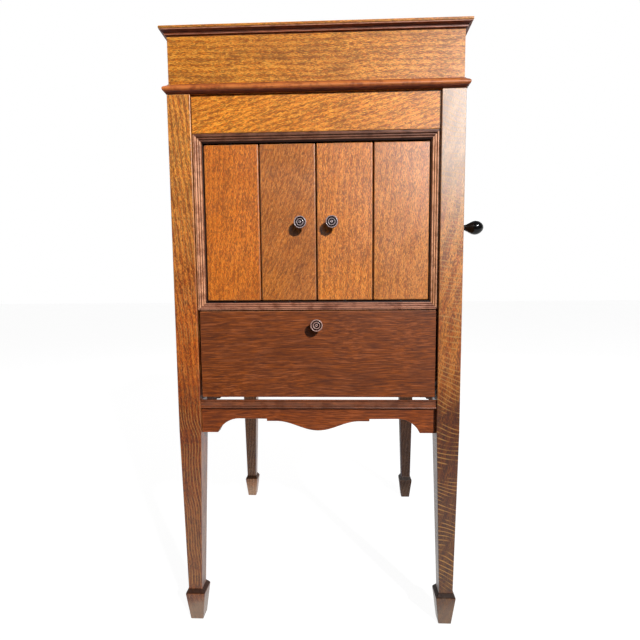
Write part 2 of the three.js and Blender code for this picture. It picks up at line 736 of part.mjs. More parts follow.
// A flat lever that turns on its own pin, with a finger button at its free end.
function deckLever({ x, y, reach }, angle, half) {
  const top = MOTOR_BOARD.top;
  const tip = [x + reach * Math.cos(angle), y + reach * Math.sin(angle)];
  const blade = bar([x, y], tip, half, top + 6, top + 9);
  const pin = rodZ(LEVER_PIN, x, y, MOTOR_BOARD.bottom, top + 12, 12);
  const button = rodZ(half + 1.6, tip[0], tip[1], top + 6, top + 14, 14);
  return join(blade, pin, button);
}

function addDeck() {
  add("needle_tray", needleTray(), NICKEL);
  const toSpindle = Math.atan2(SPINDLE.y - BRAKE.y, SPINDLE.x - BRAKE.x);
  add("brake_lever", deckLever(BRAKE, toSpindle - radians(BRAKE.rest), 4.5), NICKEL);
  add("speed_lever", deckLever(SPEED, radians(180), 3.5), NICKEL);
}

// ---------------------------------------------------------------- turntable and motor

function addTurntable() {
  const { radius, bottom, top } = PLATTER;
  const bore = SPINDLE.radius + RUNNING;
  const profile = [
    [bore, bottom],
    [11, bottom],
    [14, top - 4],
    [radius - 6, top - 4],
    [radius - 5, bottom],
    [radius - 1.4, bottom],
    [radius, bottom + 2],
    [radius, top - 1.4],
    [radius - 1.4, top],
    [bore, top],
    [bore, bottom],
  ];
  add("turntable", upright(turned(profile, 56), SPINDLE.x, SPINDLE.y, 0), NICKEL);
  const cloth = [
    [bore + 1, FELT.bottom],
    [FELT.radius, FELT.bottom],
    [FELT.radius, FELT.top],
    [bore + 1, FELT.top],
    [bore + 1, FELT.bottom],
  ];
  add("turntable_felt", upright(turned(cloth, 56), SPINDLE.x, SPINDLE.y, 0), FELT_GREEN);
  const { x, y, bottom: foot, top: tip } = SPINDLE;
  const shaft = [
    [0, foot],
    [SPINDLE.radius, foot],
    [SPINDLE.radius, tip - 3],
    [SPINDLE.radius - 1.6, tip],
    [0, tip],
  ];
  const pinion = toothed(PINION_TEETH, gearRoot(PINION_TEETH), gearTip(PINION_TEETH), BARREL_ANGLE);
  const wheel = toothed(WORM_WHEEL.teeth, WORM_WHEEL.radius - 1.6, WORM_WHEEL.radius, Math.PI);
  add(
    "turntable_spindle",
    join(
      upright(turned(shaft, 16), x, y, 0),
      plateXY(pinion, BARREL.bottom - 0.5, BARREL.gearTop + 0.5).translate(x, y, 0),
      plateXY(wheel, WORM_WHEEL.bottom, WORM_WHEEL.top).translate(x, y, 0),
    ),
    STEEL,
  );
}

const gearRoot = (teeth) => (GEAR_MODULE * teeth) / 2 - 1.15 * GEAR_MODULE;
const gearTip = (teeth) => (GEAR_MODULE * teeth) / 2 + 0.8 * GEAR_MODULE;

// The spring barrel with its great gear, and the arbor that the winding wheel turns.
function addBarrel() {
  const { x, y, radius, bottom, gearTop, top } = BARREL;
  const phase = BARREL_ANGLE + Math.PI + Math.PI / BARREL_TEETH;
  const ring = toothed(BARREL_TEETH, gearRoot(BARREL_TEETH), gearTip(BARREL_TEETH), phase);
  const gear = plateXY(ring, bottom, gearTop);
  const profile = [
    [0, bottom],
    [radius - 3, bottom],
    [radius, bottom + 2],
    [radius, top - 2],
    [radius - 2, top],
    [0, top],
  ];
  const drum = turned(profile, 32);
  const bore = rodZ(ARBOR + RUNNING, x, y, bottom - 1, top + 1, 24);
  add("spring_barrel", cut(join(gear.translate(x, y, 0), upright(drum, x, y, 0)), bore), STEEL);
  const { teeth, inner, outer, bottom: low, discTop, top: high } = CROWN;
  const disc = rodZ(outer, x, y, low, discTop, 36);
  const band = cut(rodZ(outer, x, y, discTop - 1, high, 36), rodZ(inner, x, y, discTop - 2, high + 1, 36));
  const rays = toothed(teeth, 12, outer + 4, Math.PI / teeth, 0.38);
  const star = plateXY(rays, discTop - 2, high + 1).translate(x, y, 0);
  const arbor = rodZ(ARBOR, x, y, FRAME_PLATE.bottom + 1, FRAME_PLATE.top - 1, 16);
  add("winding_wheel", join(disc, common(band, star), arbor), STEEL);
}

// A cast frame: the plate bolted under the deck, four pillars, a bottom plate and the bearing lugs.
function addMotorFrame() {
  const { x0, x1, y0, y1, top, thick, bottom, base } = FRAME_PLATE;
  const corners = [x0 + 8, x1 - 8].flatMap((x) => [y0 + 8, y1 - 8].map((y) => [x, y]));
  const upper = block(x0, x1, y0, y1, top - thick, top);
  const lower = block(x0, x1, y0, y1, bottom, bottom + base);
  const pillars = corners.map(([x, y]) => rodZ(PILLAR_RADIUS, x, y, bottom + 1, top - 1, 12));
  const governorLug = (y) => block(GOVERNOR.x - 5, GOVERNOR.x + 5, y, y + 5, GOVERNOR.z - 6, top - thick + 1);
  const windingLug = block(88, 94, CRANK.y - 10, CRANK.y + 10, CRANK.z - 10, top - thick + 1);
  const lugs = [governorLug(GOVERNOR.front - 1), governorLug(GOVERNOR.back - 4), windingLug];
  const solid = join(upper, lower, ...pillars, ...lugs);
  add(
    "motor_frame",
    cut(
      solid,
      rodZ(SPINDLE.radius + RUNNING, SPINDLE.x, SPINDLE.y, bottom - 1, top + 1, 20),
      rodZ(ARBOR + RUNNING, BARREL.x, BARREL.y, bottom - 1, top + 1, 24),
      rodX(CRANK.shaft + RUNNING, CRANK.y, CRANK.z, 86, 96, 28),
      rodY(GOVERNOR.radius + RUNNING, GOVERNOR.x, GOVERNOR.z, GOVERNOR.front - 3, GOVERNOR.back + 3, 16),
    ),
    IRON,
  );
}

// The governor: a worm beside the spindle's wheel, three weights on leaf springs and a friction disc.
function addGovernor() {
  const { x, z, front, back, radius } = GOVERNOR;
  const shaft = rodY(radius, x, z, front, back, 12);
  const worm = rodY(4.6, x, z, SPINDLE.y - 9, SPINDLE.y + 9, 14);
  const collar = rodY(6, x, z, 232, 236, 14);
  const disc = rodY(15, x, z, 270, 272.4, 24);
  const pieces = [worm, collar, disc];
  for (let i = 0; i < 3; i++) {
    const spring = block(-2.5, 2.5, 234.4, 270.8, 4.2, 5.4);
    const weight = new THREE.SphereGeometry(7, 12, 8).translate(0, 252, 10.4);
    const turn = (2 * Math.PI * i) / 3;
    pieces.push(...[spring, weight].map((piece) => piece.rotateY(turn).translate(x, 0, z)));
  }
  add("governor", join(shaft, ...pieces), STEEL);
}

// ---------------------------------------------------------------- winding crank

function addCrank() {
  const { y, z, handleZ, armX, rod, shaft } = CRANK;
  const bore = shaft + RUNNING;
  const plate = [
    [bore, 230],
    [24, 230],
    [24, 231.6],
    [22, 233],
    [11, 233.6],
    [10, 240],
    [bore, 240],
    [bore, 230],
  ];
  add("crank_escutcheon", alongX(turned(plate, 28), 0, y, z), BRASS);
  const { teeth, x0, x1, root, tip } = WINDING_PINION;
  const pinion = plateYZ(toothed(teeth, root, tip, -Math.PI / 2, 0.4), x0, x1).translate(0, y, z);
  add("winding_shaft", join(rodX(shaft, y, z, x0 - 4, 250, 16), pinion), STEEL);
  const bend = [
    [262, y, z],
    [270, y, z],
    [277, y, z - 1],
    [armX - 1.5, y, z - 6],
    [armX, y, z - 14],
    [armX, y, (z + handleZ) / 2],
    [armX, y, handleZ + 9],
    [armX + 1.2, y, handleZ + 3.4],
    [armX + 4, y, handleZ + 0.6],
    [armX + 7.4, y, handleZ],
  ];
  const sleeve = cut(rodX(8, y, z, 243, 266, 16), rodX(bore, y, z, 242, 251, 24));
  const pin = rodX(GRIP.pin, y, handleZ, armX + 6, GRIP.end - 10, 12);
  add("crank_rod", join(sleeve, sweep(bend, [rod, rod], 12, 22), pin), NICKEL);
  const grip = [
    [GRIP.bore, GRIP.start],
    [7.2, GRIP.start],
    [7.2, 293.4],
    [6, 294.4],
    [5.6, 300],
    [6, 303.4],
    [8.4, 308.6],
    [11.8, 314.6],
    [14.2, 319.6],
    [15, 324.4],
    [14.4, 329.4],
    [12, 334.6],
    [8.4, 338.8],
    [4.2, 341.3],
    [0, GRIP.end],
    [0, 333.5],
    [GRIP.bore, 333.5],
    [GRIP.bore, GRIP.start],
  ];
  add("crank_grip", alongX(turned(grip, 20), 0, y, handleZ), EBONY);
}

// ---------------------------------------------------------------- tonearm, soundbox and horn

function addTonearm() {
  const { x, y, parked, height, length, stem } = TONEARM;
  const bore = stem + RUNNING;
  const base = [
    [bore, 862],
    [22.4, 862],
    [22.4, 880.2],
    [32, 880.2],
    [32, 882.6],
    [29, 884.6],
    [21, 886],
    [20, 893],
    [bore, 893],
    [bore, 862],
  ];
  add("tonearm_base", upright(turned(base, 36), x, y, 0), NICKEL);
  const group = new THREE.Group();
  group.position.set(x, y, 0);
  group.rotation.z = radians(parked);
  cabinet.add(group);
  const path = [
    [0, 0, 884],
    [0, 0, 905],
    [0, 0, 926],
    [0, -6, height - 4],
    [0, -22, height],
    [0, -70, height],
    [0, -150, height],
    [0, -length + 32, height - 2],
    [0, -length + 12, SOUNDBOX.z + 6],
    [-4, -length + 1, SOUNDBOX.z],
    [SOUNDBOX.x + 2, -length, SOUNDBOX.z],
  ];
  const swell = [stem, stem, 15.4, 15.4, 15, 14, 13, 12, 11, 10, 9, 8.5, 8.5];
  add("tonearm", sweep(path, swell, 14, 26), NICKEL, group);
  addSoundbox(group);
}

// A disc on a neck square to the arm; the needle hangs from a bar in front of its rim.
function addSoundbox(group) {
  const { radius, x, z, thick, needleTip } = SOUNDBOX;
  const y = -TONEARM.length;
  const profile = [
    [0, 0],
    [10, 0],
    [10, 3],
    [radius - 5, 3.4],
    [radius, 5],
    [radius, thick - 1],
    [radius - 1.4, thick],
    [radius - 4.6, thick],
    [radius - 5.4, thick - 2.4],
    [0, thick - 2.4],
  ];
  const disc = turned(profile, 32).rotateY(-Math.PI / 2).translate(x - 0.2, y, z);
  add("soundbox", disc, NICKEL, group);
  const face = x - 0.2 - thick;
  const [middle, low] = [face - 2.5, z - 24];
  const stylus = join(
    block(face - 3, face - 0.4, y - 1.6, y + 1.6, low, z + 1.5),
    block(face - 4.6, face - 0.4, y - 3, y + 3, low - 1.5, z - 20),
    sweep([[middle, y, low], [middle, y - 1, low - 1.8], [middle, y - 2, needleTip]], [0.9, 0.9, 0.4], 8, 2),
  );
  add("needle_bar", stylus, STEEL, group);
}

// One section of the horn: a rounded rectangle that becomes a circle, tilted as the horn bends.
function hornSection([cx, cy, cz, halfW, halfH, tilt, squareness], grow) {
  const angle = radians(tilt);
  const [upY, upZ] = [-Math.cos(angle), Math.sin(angle)];
  const power = 1 - 0.72 * squareness;
  return Array.from({ length: HORN_SIDES }, (_, i) => {
    const a = (2 * Math.PI * (i + 0.5)) / HORN_SIDES;
    const [c, s] = [Math.cos(a), Math.sin(a)];
    const u = Math.sign(c) * Math.abs(c) ** power * (halfW + grow);
    const v = Math.sign(s) * Math.abs(s) ** power * (halfH + grow);
    return [cx + u, cy + v * upY, cz + v * upZ];
  });
}

function addHorn() {
  const outer = HORN_STATIONS.map((station) => hornSection(station, 0));
  const inner = HORN_STATIONS.map((station) => hornSection(station, -HORN_WALL)).reverse();
  add("horn", loft([...outer, ...inner], { ring: true }), PLAIN_WOOD);
}

addLegs();
addFrontRails();
addLouvreFrame();
addSidesAndBack();
addShelves();
addLouvres();
addFlap();
addLid();
addDeck();
addTurntable();
addBarrel();
addMotorFrame();
addGovernor();
addCrank();
addTonearm();
addHorn();

export default cabinet;
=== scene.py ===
"""Looks for a floor-standing oak gramophone cabinet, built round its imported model.

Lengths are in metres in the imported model's frame: +Z up, +Y from the front to the back and +X to
the viewer's right. Boards, mouldings and turned pieces are numpy grids, and every finish is a
procedural material on Object coordinates.
"""

from __future__ import annotations

import json
import logging
import math
from dataclasses import dataclass, field, replace
from enum import Enum
from typing import Callable, Sequence

import bmesh
import bpy
import numpy as np
from mathutils import Matrix, Vector
from mathutils.geometry import tessellate_polygon

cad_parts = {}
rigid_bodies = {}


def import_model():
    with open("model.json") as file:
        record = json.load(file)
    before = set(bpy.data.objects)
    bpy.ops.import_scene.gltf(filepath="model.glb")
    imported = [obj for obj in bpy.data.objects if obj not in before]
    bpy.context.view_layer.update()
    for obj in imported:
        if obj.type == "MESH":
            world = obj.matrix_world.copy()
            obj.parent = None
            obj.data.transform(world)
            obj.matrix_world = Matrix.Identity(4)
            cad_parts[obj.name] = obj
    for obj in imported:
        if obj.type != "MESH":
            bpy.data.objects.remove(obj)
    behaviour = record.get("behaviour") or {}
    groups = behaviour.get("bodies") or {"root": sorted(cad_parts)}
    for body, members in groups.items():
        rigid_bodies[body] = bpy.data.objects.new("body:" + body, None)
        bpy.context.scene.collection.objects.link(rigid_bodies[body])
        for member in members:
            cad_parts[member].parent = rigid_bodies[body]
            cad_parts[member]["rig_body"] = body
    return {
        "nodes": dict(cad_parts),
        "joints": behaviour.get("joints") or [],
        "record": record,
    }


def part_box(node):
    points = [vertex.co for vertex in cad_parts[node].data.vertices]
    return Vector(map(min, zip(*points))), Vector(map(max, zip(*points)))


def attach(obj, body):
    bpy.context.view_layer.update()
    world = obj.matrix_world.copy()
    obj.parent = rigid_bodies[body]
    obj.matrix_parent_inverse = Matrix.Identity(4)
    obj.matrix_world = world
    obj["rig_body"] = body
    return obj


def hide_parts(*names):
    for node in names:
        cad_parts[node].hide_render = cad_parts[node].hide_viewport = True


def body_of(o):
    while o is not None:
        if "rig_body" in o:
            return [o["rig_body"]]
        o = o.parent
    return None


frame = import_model()

Array = np.ndarray
Colour = tuple[float, float, float]
Socket = bpy.types.NodeSocket
Material = bpy.types.Material
LOG = logging.getLogger("cabinet")
MM = 0.001
SAME_POINT = 1e-7  # points of a new piece that are nearer than this are one
SAME_CAD_POINT = 1e-6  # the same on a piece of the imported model
FLAT_ANGLE = 1e-4  # where two faces meet at less than this, in radians, there is no edge
CREASE = 33.0  # edges that turn by more than this, in degrees, stay sharp
MITRE_CREASE = 38.0  # the same on mouldings
TURNED_CREASE = 40.0  # the same on the tonearm and the governor
ROUND_CREASE = 50.0  # the same on the horn and the crank's rod
SIDES = (("left", -1), ("right", 1))
SLOTS = {part["node"]: part["material_slot"] for part in frame["record"]["subparts"]}


class Way(Enum):
    """An axis of the frame: the way that wood grain, a turned piece or a moulding runs."""

    X = 0
    Y = 1
    Z = 2

    @property
    def across(self) -> tuple[int, int]:
        """The other two axes, in cyclic order."""
        return (self.value + 1) % 3, (self.value + 2) % 3


# ---------------------------------------------------------------- places taken from the frame


def span(node: str) -> tuple[Array, Array]:
    """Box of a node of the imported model.

    Args:
        node: the node's name.

    Returns:
        Its lowest and its highest corner.
    """
    low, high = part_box(node)
    return np.array(low), np.array(high)


def pivot(joint: str) -> tuple[Array, Array]:
    """Where a joint turns.

    Args:
        joint: the joint's name.

    Returns:
        A point on its axis, and the axis.
    """
    found = next(j for j in frame["joints"] if j["name"] == joint)
    return np.array(found["pos_m"], float), np.array(found["axis"], float)


# ---------------------------------------------------------------- surfaces


@dataclass
class Skin:
    """One closed surface made of rows of points, each row a closed loop that joins the next.

    Attributes:
        rows: points, (rows, columns, 3).
        worn: how rubbed each point is, up to 1, which on some crests is a painted highlight, or how
            dark, down to -1, as grime and as painted shade in hollows and shut-in faces.
    """

    rows: Array
    worn: Array

    def faces(self) -> list[list[int]]:
        """Quads between neighbouring rows, and triangles over the two end loops.

        Returns:
            Vertex indices of each face, counting row by row.
        """
        count, columns, _ = self.rows.shape
        index = np.arange(count * columns).reshape(count, columns)
        low, high = index[:-1], index[1:]
        quads = np.stack([low, np.roll(low, -1, 1), np.roll(high, -1, 1), high], -1)
        faces = quads.reshape(-1, 4).tolist()
        for end in (0, count - 1):
            loop = self.rows[end]
            if np.ptp(loop, axis=0).max() < SAME_POINT:
                continue
            cap = tessellate_polygon([[Vector(point) for point in loop]])
            faces += [[int(index[end][corner]) for corner in triangle] for triangle in cap]
        return faces

    def mesh(self) -> bpy.types.Mesh:
        """The surface as a mesh with its seams closed and its faces pointing out.

        Returns:
            A new mesh with the point attribute "worn".
        """
        mesh = bpy.data.meshes.new("skin")
        mesh.from_pydata(self.rows.reshape(-1, 3).tolist(), [], self.faces())
        worn = self.worn.astype(np.float32)
        mesh.attributes.new("worn", "FLOAT", "POINT").data.foreach_set("value", worn.ravel())
        work = bmesh.new()
        work.from_mesh(mesh)
        bmesh.ops.remove_doubles(work, verts=work.verts, dist=SAME_POINT)
        bmesh.ops.dissolve_degenerate(work, dist=0.1 * SAME_POINT, edges=work.edges)
        bmesh.ops.recalc_face_normals(work, faces=work.faces)
        work.to_mesh(mesh)
        work.free()
        return mesh


def chaikin(points: Sequence[Sequence[float]], passes: int = 2) -> Array:
    """An open line with its corners cut: each pass keeps the ends and puts points at a quarter and
    three quarters of every side.

    Args:
        points: the line's corners.
        passes: how often the corners are cut.

    Returns:
        The smoother line.
    """
    line = np.asarray(points, float)
    for _ in range(passes):
        near = 0.75 * line[:-1] + 0.25 * line[1:]
        far = 0.25 * line[:-1] + 0.75 * line[1:]
        middle = np.stack([near, far], axis=1).reshape(-1, line.shape[1])
        line = np.concatenate([line[:1], middle, line[-1:]])
    return line


def bar(way: Way, at: Array, low: Array, high: Array, radius: float, steps: int = 3) -> Skin:
    """A bar with a rectangular section and all its edges rounded.

    The section's limits are straight between stations. Near each end the section shrinks by
    radius (1 - sin a) at radius (1 - cos a) from the end, a running a quarter turn. A corner's
    points are its centre + radius (cos b, sin b), b running a quarter turn.

    Args:
        way: the axis that the bar runs along.
        at: stations along it, rising, (n,).
        low: lower limits across it, (n, 2).
        high: upper limits across it, (n, 2).
        radius: radius of the edges.
        steps: facets in a rounded edge.

    Returns:
        The bar's skin, worn along its edges.
    """
    quarter = np.linspace(0, np.pi / 2, steps + 1)
    inwards, shrink = radius * (1 - np.cos(quarter)), radius * (1 - np.sin(quarter))
    inner = at[(at > at[0] + radius) & (at < at[-1] - radius)]
    place = np.concatenate([at[0] + inwards, inner, at[-1] - inwards[::-1]])
    inset = np.concatenate([shrink, np.zeros(inner.size), shrink[::-1]])
    rim = np.sin(2 * quarter)
    end_worn = np.concatenate([rim, np.zeros(inner.size), rim[::-1]])
    corner = np.maximum(radius - inset, 0.2 * radius)[:, None]
    turn = quarter + np.arange(4)[:, None] * np.pi / 2
    signs = np.repeat([[1, 1], [-1, 1], [-1, -1], [1, -1]], steps + 1, axis=0)
    circle = np.stack([np.cos(turn.ravel()), np.sin(turn.ravel())], -1)
    rows = np.empty((place.size, 4 * (steps + 1), 3))
    rows[..., way.value] = place[:, None]
    for k, axis in enumerate(way.across):
        lows = np.interp(place, at, low[:, k]) + inset
        highs = np.interp(place, at, high[:, k]) - inset
        middle, half = (lows + highs)[:, None] / 2, (highs - lows)[:, None] / 2
        rows[..., axis] = middle + signs[:, k] * (half - corner) + corner * circle[:, k]
    worn = np.maximum(np.tile(rim, 4)[None, :], end_worn[:, None])
    return Skin(rows, worn)


def board(way: Way, low: Array, high: Array, radius: float, steps: int = 3) -> Skin:
    """A straight board with rounded edges.

    Args:
        way: the axis that its grain runs along.
        low: its lowest corner.
        high: its highest corner.
        radius: radius of its edges.
        steps: facets in a rounded edge.

    Returns:
        The board's skin.
    """
    at = np.array([low[way.value], high[way.value]])
    across = list(way.across)
    return bar(way, at, np.tile(low[across], (2, 1)), np.tile(high[across], (2, 1)), radius, steps)


def lathe(
    profile: Array, way: Way, centre: Array, segments: int = 64, worn: Array | float = 0.0
) -> Skin:
    """A turned piece: point (r, h) of the profile goes to centre + h along the axis + r round it.

    Args:
        profile: radius and height of each row, (n, 2); the radius may differ round the piece, in
            which case the profile is (n, segments, 2).
        way: the axis that it turns about.
        centre: the point of height 0 on that axis.
        segments: points round the piece.
        worn: how rubbed each row is, which on a knob's crests is also a painted highlight, or how
            dark below 0, as painted shade in its grooves, (n,).

    Returns:
        The piece's skin.
    """
    grid = np.asarray(profile, float)
    if grid.ndim == 2:
        grid = np.repeat(grid[:, None, :], segments, axis=1)
    angle = np.linspace(0, 2 * np.pi, grid.shape[1], endpoint=False)
    first, second = way.across
    rows = np.empty(grid.shape[:2] + (3,))
    rows[..., way.value] = centre[way.value] + grid[..., 1]
    rows[..., first] = centre[first] + grid[..., 0] * np.cos(angle)
    rows[..., second] = centre[second] + grid[..., 0] * np.sin(angle)
    return Skin(rows, np.broadcast_to(np.asarray(worn, float)[..., None], rows.shape[:2]))


def upright(foot: Array, radius: float, low: float, high: float, segments: int) -> Skin:
    """An upright round pin: a rectangle with its corners cut once, turned about a line.

    Args:
        foot: a point on the line.
        radius: the pin's radius.
        low: height of its lower end above the point.
        high: height of its upper end.
        segments: points round it.

    Returns:
        The pin's skin.
    """
    outline = chaikin([(0, low), (radius, low), (radius, high), (0, high)], 1)
    return lathe(outline, Way.Z, foot, segments)


def strip(profile: Array, places: Sequence[Callable[[Array], Array]], worn: Array) -> Skin:
    """A moulding: the same profile carried through two or more stations, which mitre it.

    Args:
        profile: the section's corners, (n, 2).
        places: for each station, the function that puts the section's corners in space.
        worn: how rubbed each corner of the section is, also as painted highlight on some crests, or
            how dark below 0, as painted shade in hollows and along inner edges, (n,).

    Returns:
        The moulding's skin.
    """
    rows = np.stack([place(profile) for place in places])
    return Skin(rows, np.broadcast_to(worn, rows.shape[:2]))


def outward(profile: Array) -> Array:
    """How far each corner of a section stands out from its neighbours, as a guide to wear and
    painted highlight on crests and to painted shade in hollows.

    Args:
        profile: the section's corners in order, (n, 2).

    Returns:
        Up to 1 at sharp outward corners, 0 on flats and down to -1 in sharp hollows, (n,).
    """
    before, after = np.roll(profile, 1, 0) - profile, np.roll(profile, -1, 0) - profile
    turn = before[:, 0] * after[:, 1] - before[:, 1] * after[:, 0]
    length = np.linalg.norm(before, axis=1) * np.linalg.norm(after, axis=1)
    bend = turn / np.maximum(length, 1e-12)
    x, y = profile.T
    area = np.sum(x * np.roll(y, -1) - y * np.roll(x, -1))
    return np.clip(-bend * np.sign(area) * 1.6, -1, 1)


def swung(skin: Skin, point: Array, angle: float) -> Skin:
    """The skin turned about the upright line through a point.

    Args:
        skin: the surface.
        point: a point on the line.
        angle: the turn, anticlockwise from above.

    Returns:
        The turned surface.
    """
    cos, sin = math.cos(angle), math.sin(angle)
    matrix = np.array([[cos, sin, 0], [-sin, cos, 0], [0, 0, 1]])
    return Skin((skin.rows - point) @ matrix + point, skin.worn)


# ---------------------------------------------------------------- pieces


def in_scene(
    name: str, mesh: bpy.types.Mesh, material: Material, crease: float = CREASE
) -> bpy.types.Object:
    """Puts a mesh in the scene, smooth but for its creases.

    Args:
        name: the object's name.
        mesh: its mesh.
        material: the mesh's only material.
        crease: edges that turn by more than this, in degrees, stay sharp.

    Returns:
        The object.
    """
    mesh.shade_smooth()
    mesh.set_sharp_from_angle(angle=math.radians(crease))
    mesh.materials.clear()
    mesh.materials.append(material)
    made = bpy.data.objects.new(name, mesh)
    bpy.context.scene.collection.objects.link(made)
    return made


def piece(
    name: str,
    skins: Sequence[Skin],
    material: Material,
    body: str,
    replaces: Sequence[str] = (),
    crease: float = CREASE,
    flat: bool = True,
    slot: str = "",
) -> bpy.types.Object:
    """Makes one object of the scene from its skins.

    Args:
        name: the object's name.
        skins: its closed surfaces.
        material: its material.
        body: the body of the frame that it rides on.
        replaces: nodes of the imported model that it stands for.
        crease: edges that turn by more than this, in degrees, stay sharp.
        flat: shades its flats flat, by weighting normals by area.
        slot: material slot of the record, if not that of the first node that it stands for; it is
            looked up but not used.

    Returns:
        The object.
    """
    whole = bmesh.new()
    for skin in skins:
        mesh = skin.mesh()
        whole.from_mesh(mesh)
        bpy.data.meshes.remove(mesh)
    mesh = bpy.data.meshes.new(name)
    whole.to_mesh(mesh)
    whole.free()
    made = in_scene(name, mesh, material, crease)
    if flat:
        made.modifiers.new("flats", "WEIGHTED_NORMAL").keep_sharp = True
    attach(made, body)
    slot or SLOTS[replaces[0]]
    if replaces:
        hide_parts(*replaces)
    LOG.info("%s: %d faces on %s", name, len(mesh.polygons), body)
    return made


def finished(
    node: str, material: Material, arris: float = 0.0, crease: float = CREASE
) -> bpy.types.Object:
    """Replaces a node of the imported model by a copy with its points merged, its round faces smooth
    and its sharp edges softened.

    Args:
        node: the node's name.
        material: its material.
        arris: width of the bevel on its sharp edges, 0 for none.
        crease: edges that turn by more than this, in degrees, stay sharp.

    Returns:
        The copy.
    """
    shown = frame["nodes"][node]
    mesh = shown.data.copy()
    mesh.name = f"{node}_finish"
    work = bmesh.new()
    work.from_mesh(mesh)
    bmesh.ops.remove_doubles(work, verts=work.verts, dist=SAME_CAD_POINT)
    bmesh.ops.recalc_face_normals(work, faces=work.faces)
    flats = [edge for edge in work.edges if edge.calc_face_angle(1.0) < FLAT_ANGLE]
    bmesh.ops.dissolve_edges(work, edges=flats, use_verts=False)
    work.to_mesh(mesh)
    work.free()
    made = in_scene(mesh.name, mesh, material, crease)
    if arris:
        bevel = made.modifiers.new("arris", "BEVEL")
        bevel.width = arris
        bevel.segments = 2
        bevel.limit_method = "ANGLE"
        bevel.angle_limit = math.radians(crease + 5)
        bevel.use_clamp_overlap = True
    made.modifiers.new("flats", "WEIGHTED_NORMAL").keep_sharp = True
    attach(made, body_of(shown)[0])
    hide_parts(node)
    LOG.info("%s: %d faces", made.name, len(mesh.polygons))
    return made


@dataclass(frozen=True)
class Screw:
    """A slotted screw head.

    Attributes:
        radius: radius of the head.
        dome: height of its middle over its rim.
        rim: height of its rim.
        slot: width of the slot.
        depth: depth of the slot.
        sunk: how far its underside is let into the seat.
    """

    radius: float = 3.4 * MM
    dome: float = 0.9 * MM
    rim: float = 0.3 * MM
    slot: float = 1.0 * MM
    depth: float = 0.7 * MM
    sunk: float = 0.3 * MM

    def skin(self, way: Way, seat: Sequence[float], turn: float) -> Skin:
        """The head: height rim + dome (1 - (r / radius)^2), less the slot where |r sin a| < slot / 2.

        Args:
            way: the axis that it stands along.
            seat: the middle of its underside.
            turn: angle of the slot.

        Returns:
            Its skin.
        """
        shares = np.array([0.0, 1.0, 1.0, 0.94, 0.8, 0.62, 0.44, 0.26, 0.12, 0.0])
        radius = self.radius * shares[:, None]
        angle = np.linspace(0, 2 * np.pi, 64, endpoint=False)[None, :]
        height = self.rim + self.dome * (1 - (radius / self.radius) ** 2)
        slot = np.abs(radius * np.sin(angle - turn)) < self.slot / 2
        height = np.where(slot, height - self.depth, height)
        height[:2] = -self.sunk
        grid = np.stack([np.broadcast_to(radius, height.shape), height], -1)
        return lathe(grid, way, np.asarray(seat, float))

    def three(self, way: Way, centre: Array, reach: float) -> list[Skin]:
        """Three heads evenly round a point, at centre + reach (cos a, sin a) across the axis.

        Args:
            way: the axis that they stand along.
            centre: the point.
            reach: distance from the point to each head.

        Returns:
            Their skins.
        """
        heads = []
        for turn in np.radians([90, 210, 330]):
            seat = np.array(centre, float)
            seat[list(way.across)] += reach * np.array([math.cos(turn), math.sin(turn)])
            heads.append(self.skin(way, seat, turn))
        return heads


# ---------------------------------------------------------------- finishes


def linear(red: int, green: int, blue: int) -> Colour:
    """A screen colour as scene-linear light: c / 12.92 below 0.04045, else ((c + 0.055) / 1.055)^2.4.

    Args:
        red: 0 to 255.
        green: 0 to 255.
        blue: 0 to 255.

    Returns:
        The three linear values.
    """
    values = (c / 255 for c in (red, green, blue))
    return tuple(c / 12.92 if c <= 0.04045 else ((c + 0.055) / 1.055) ** 2.4 for c in values)


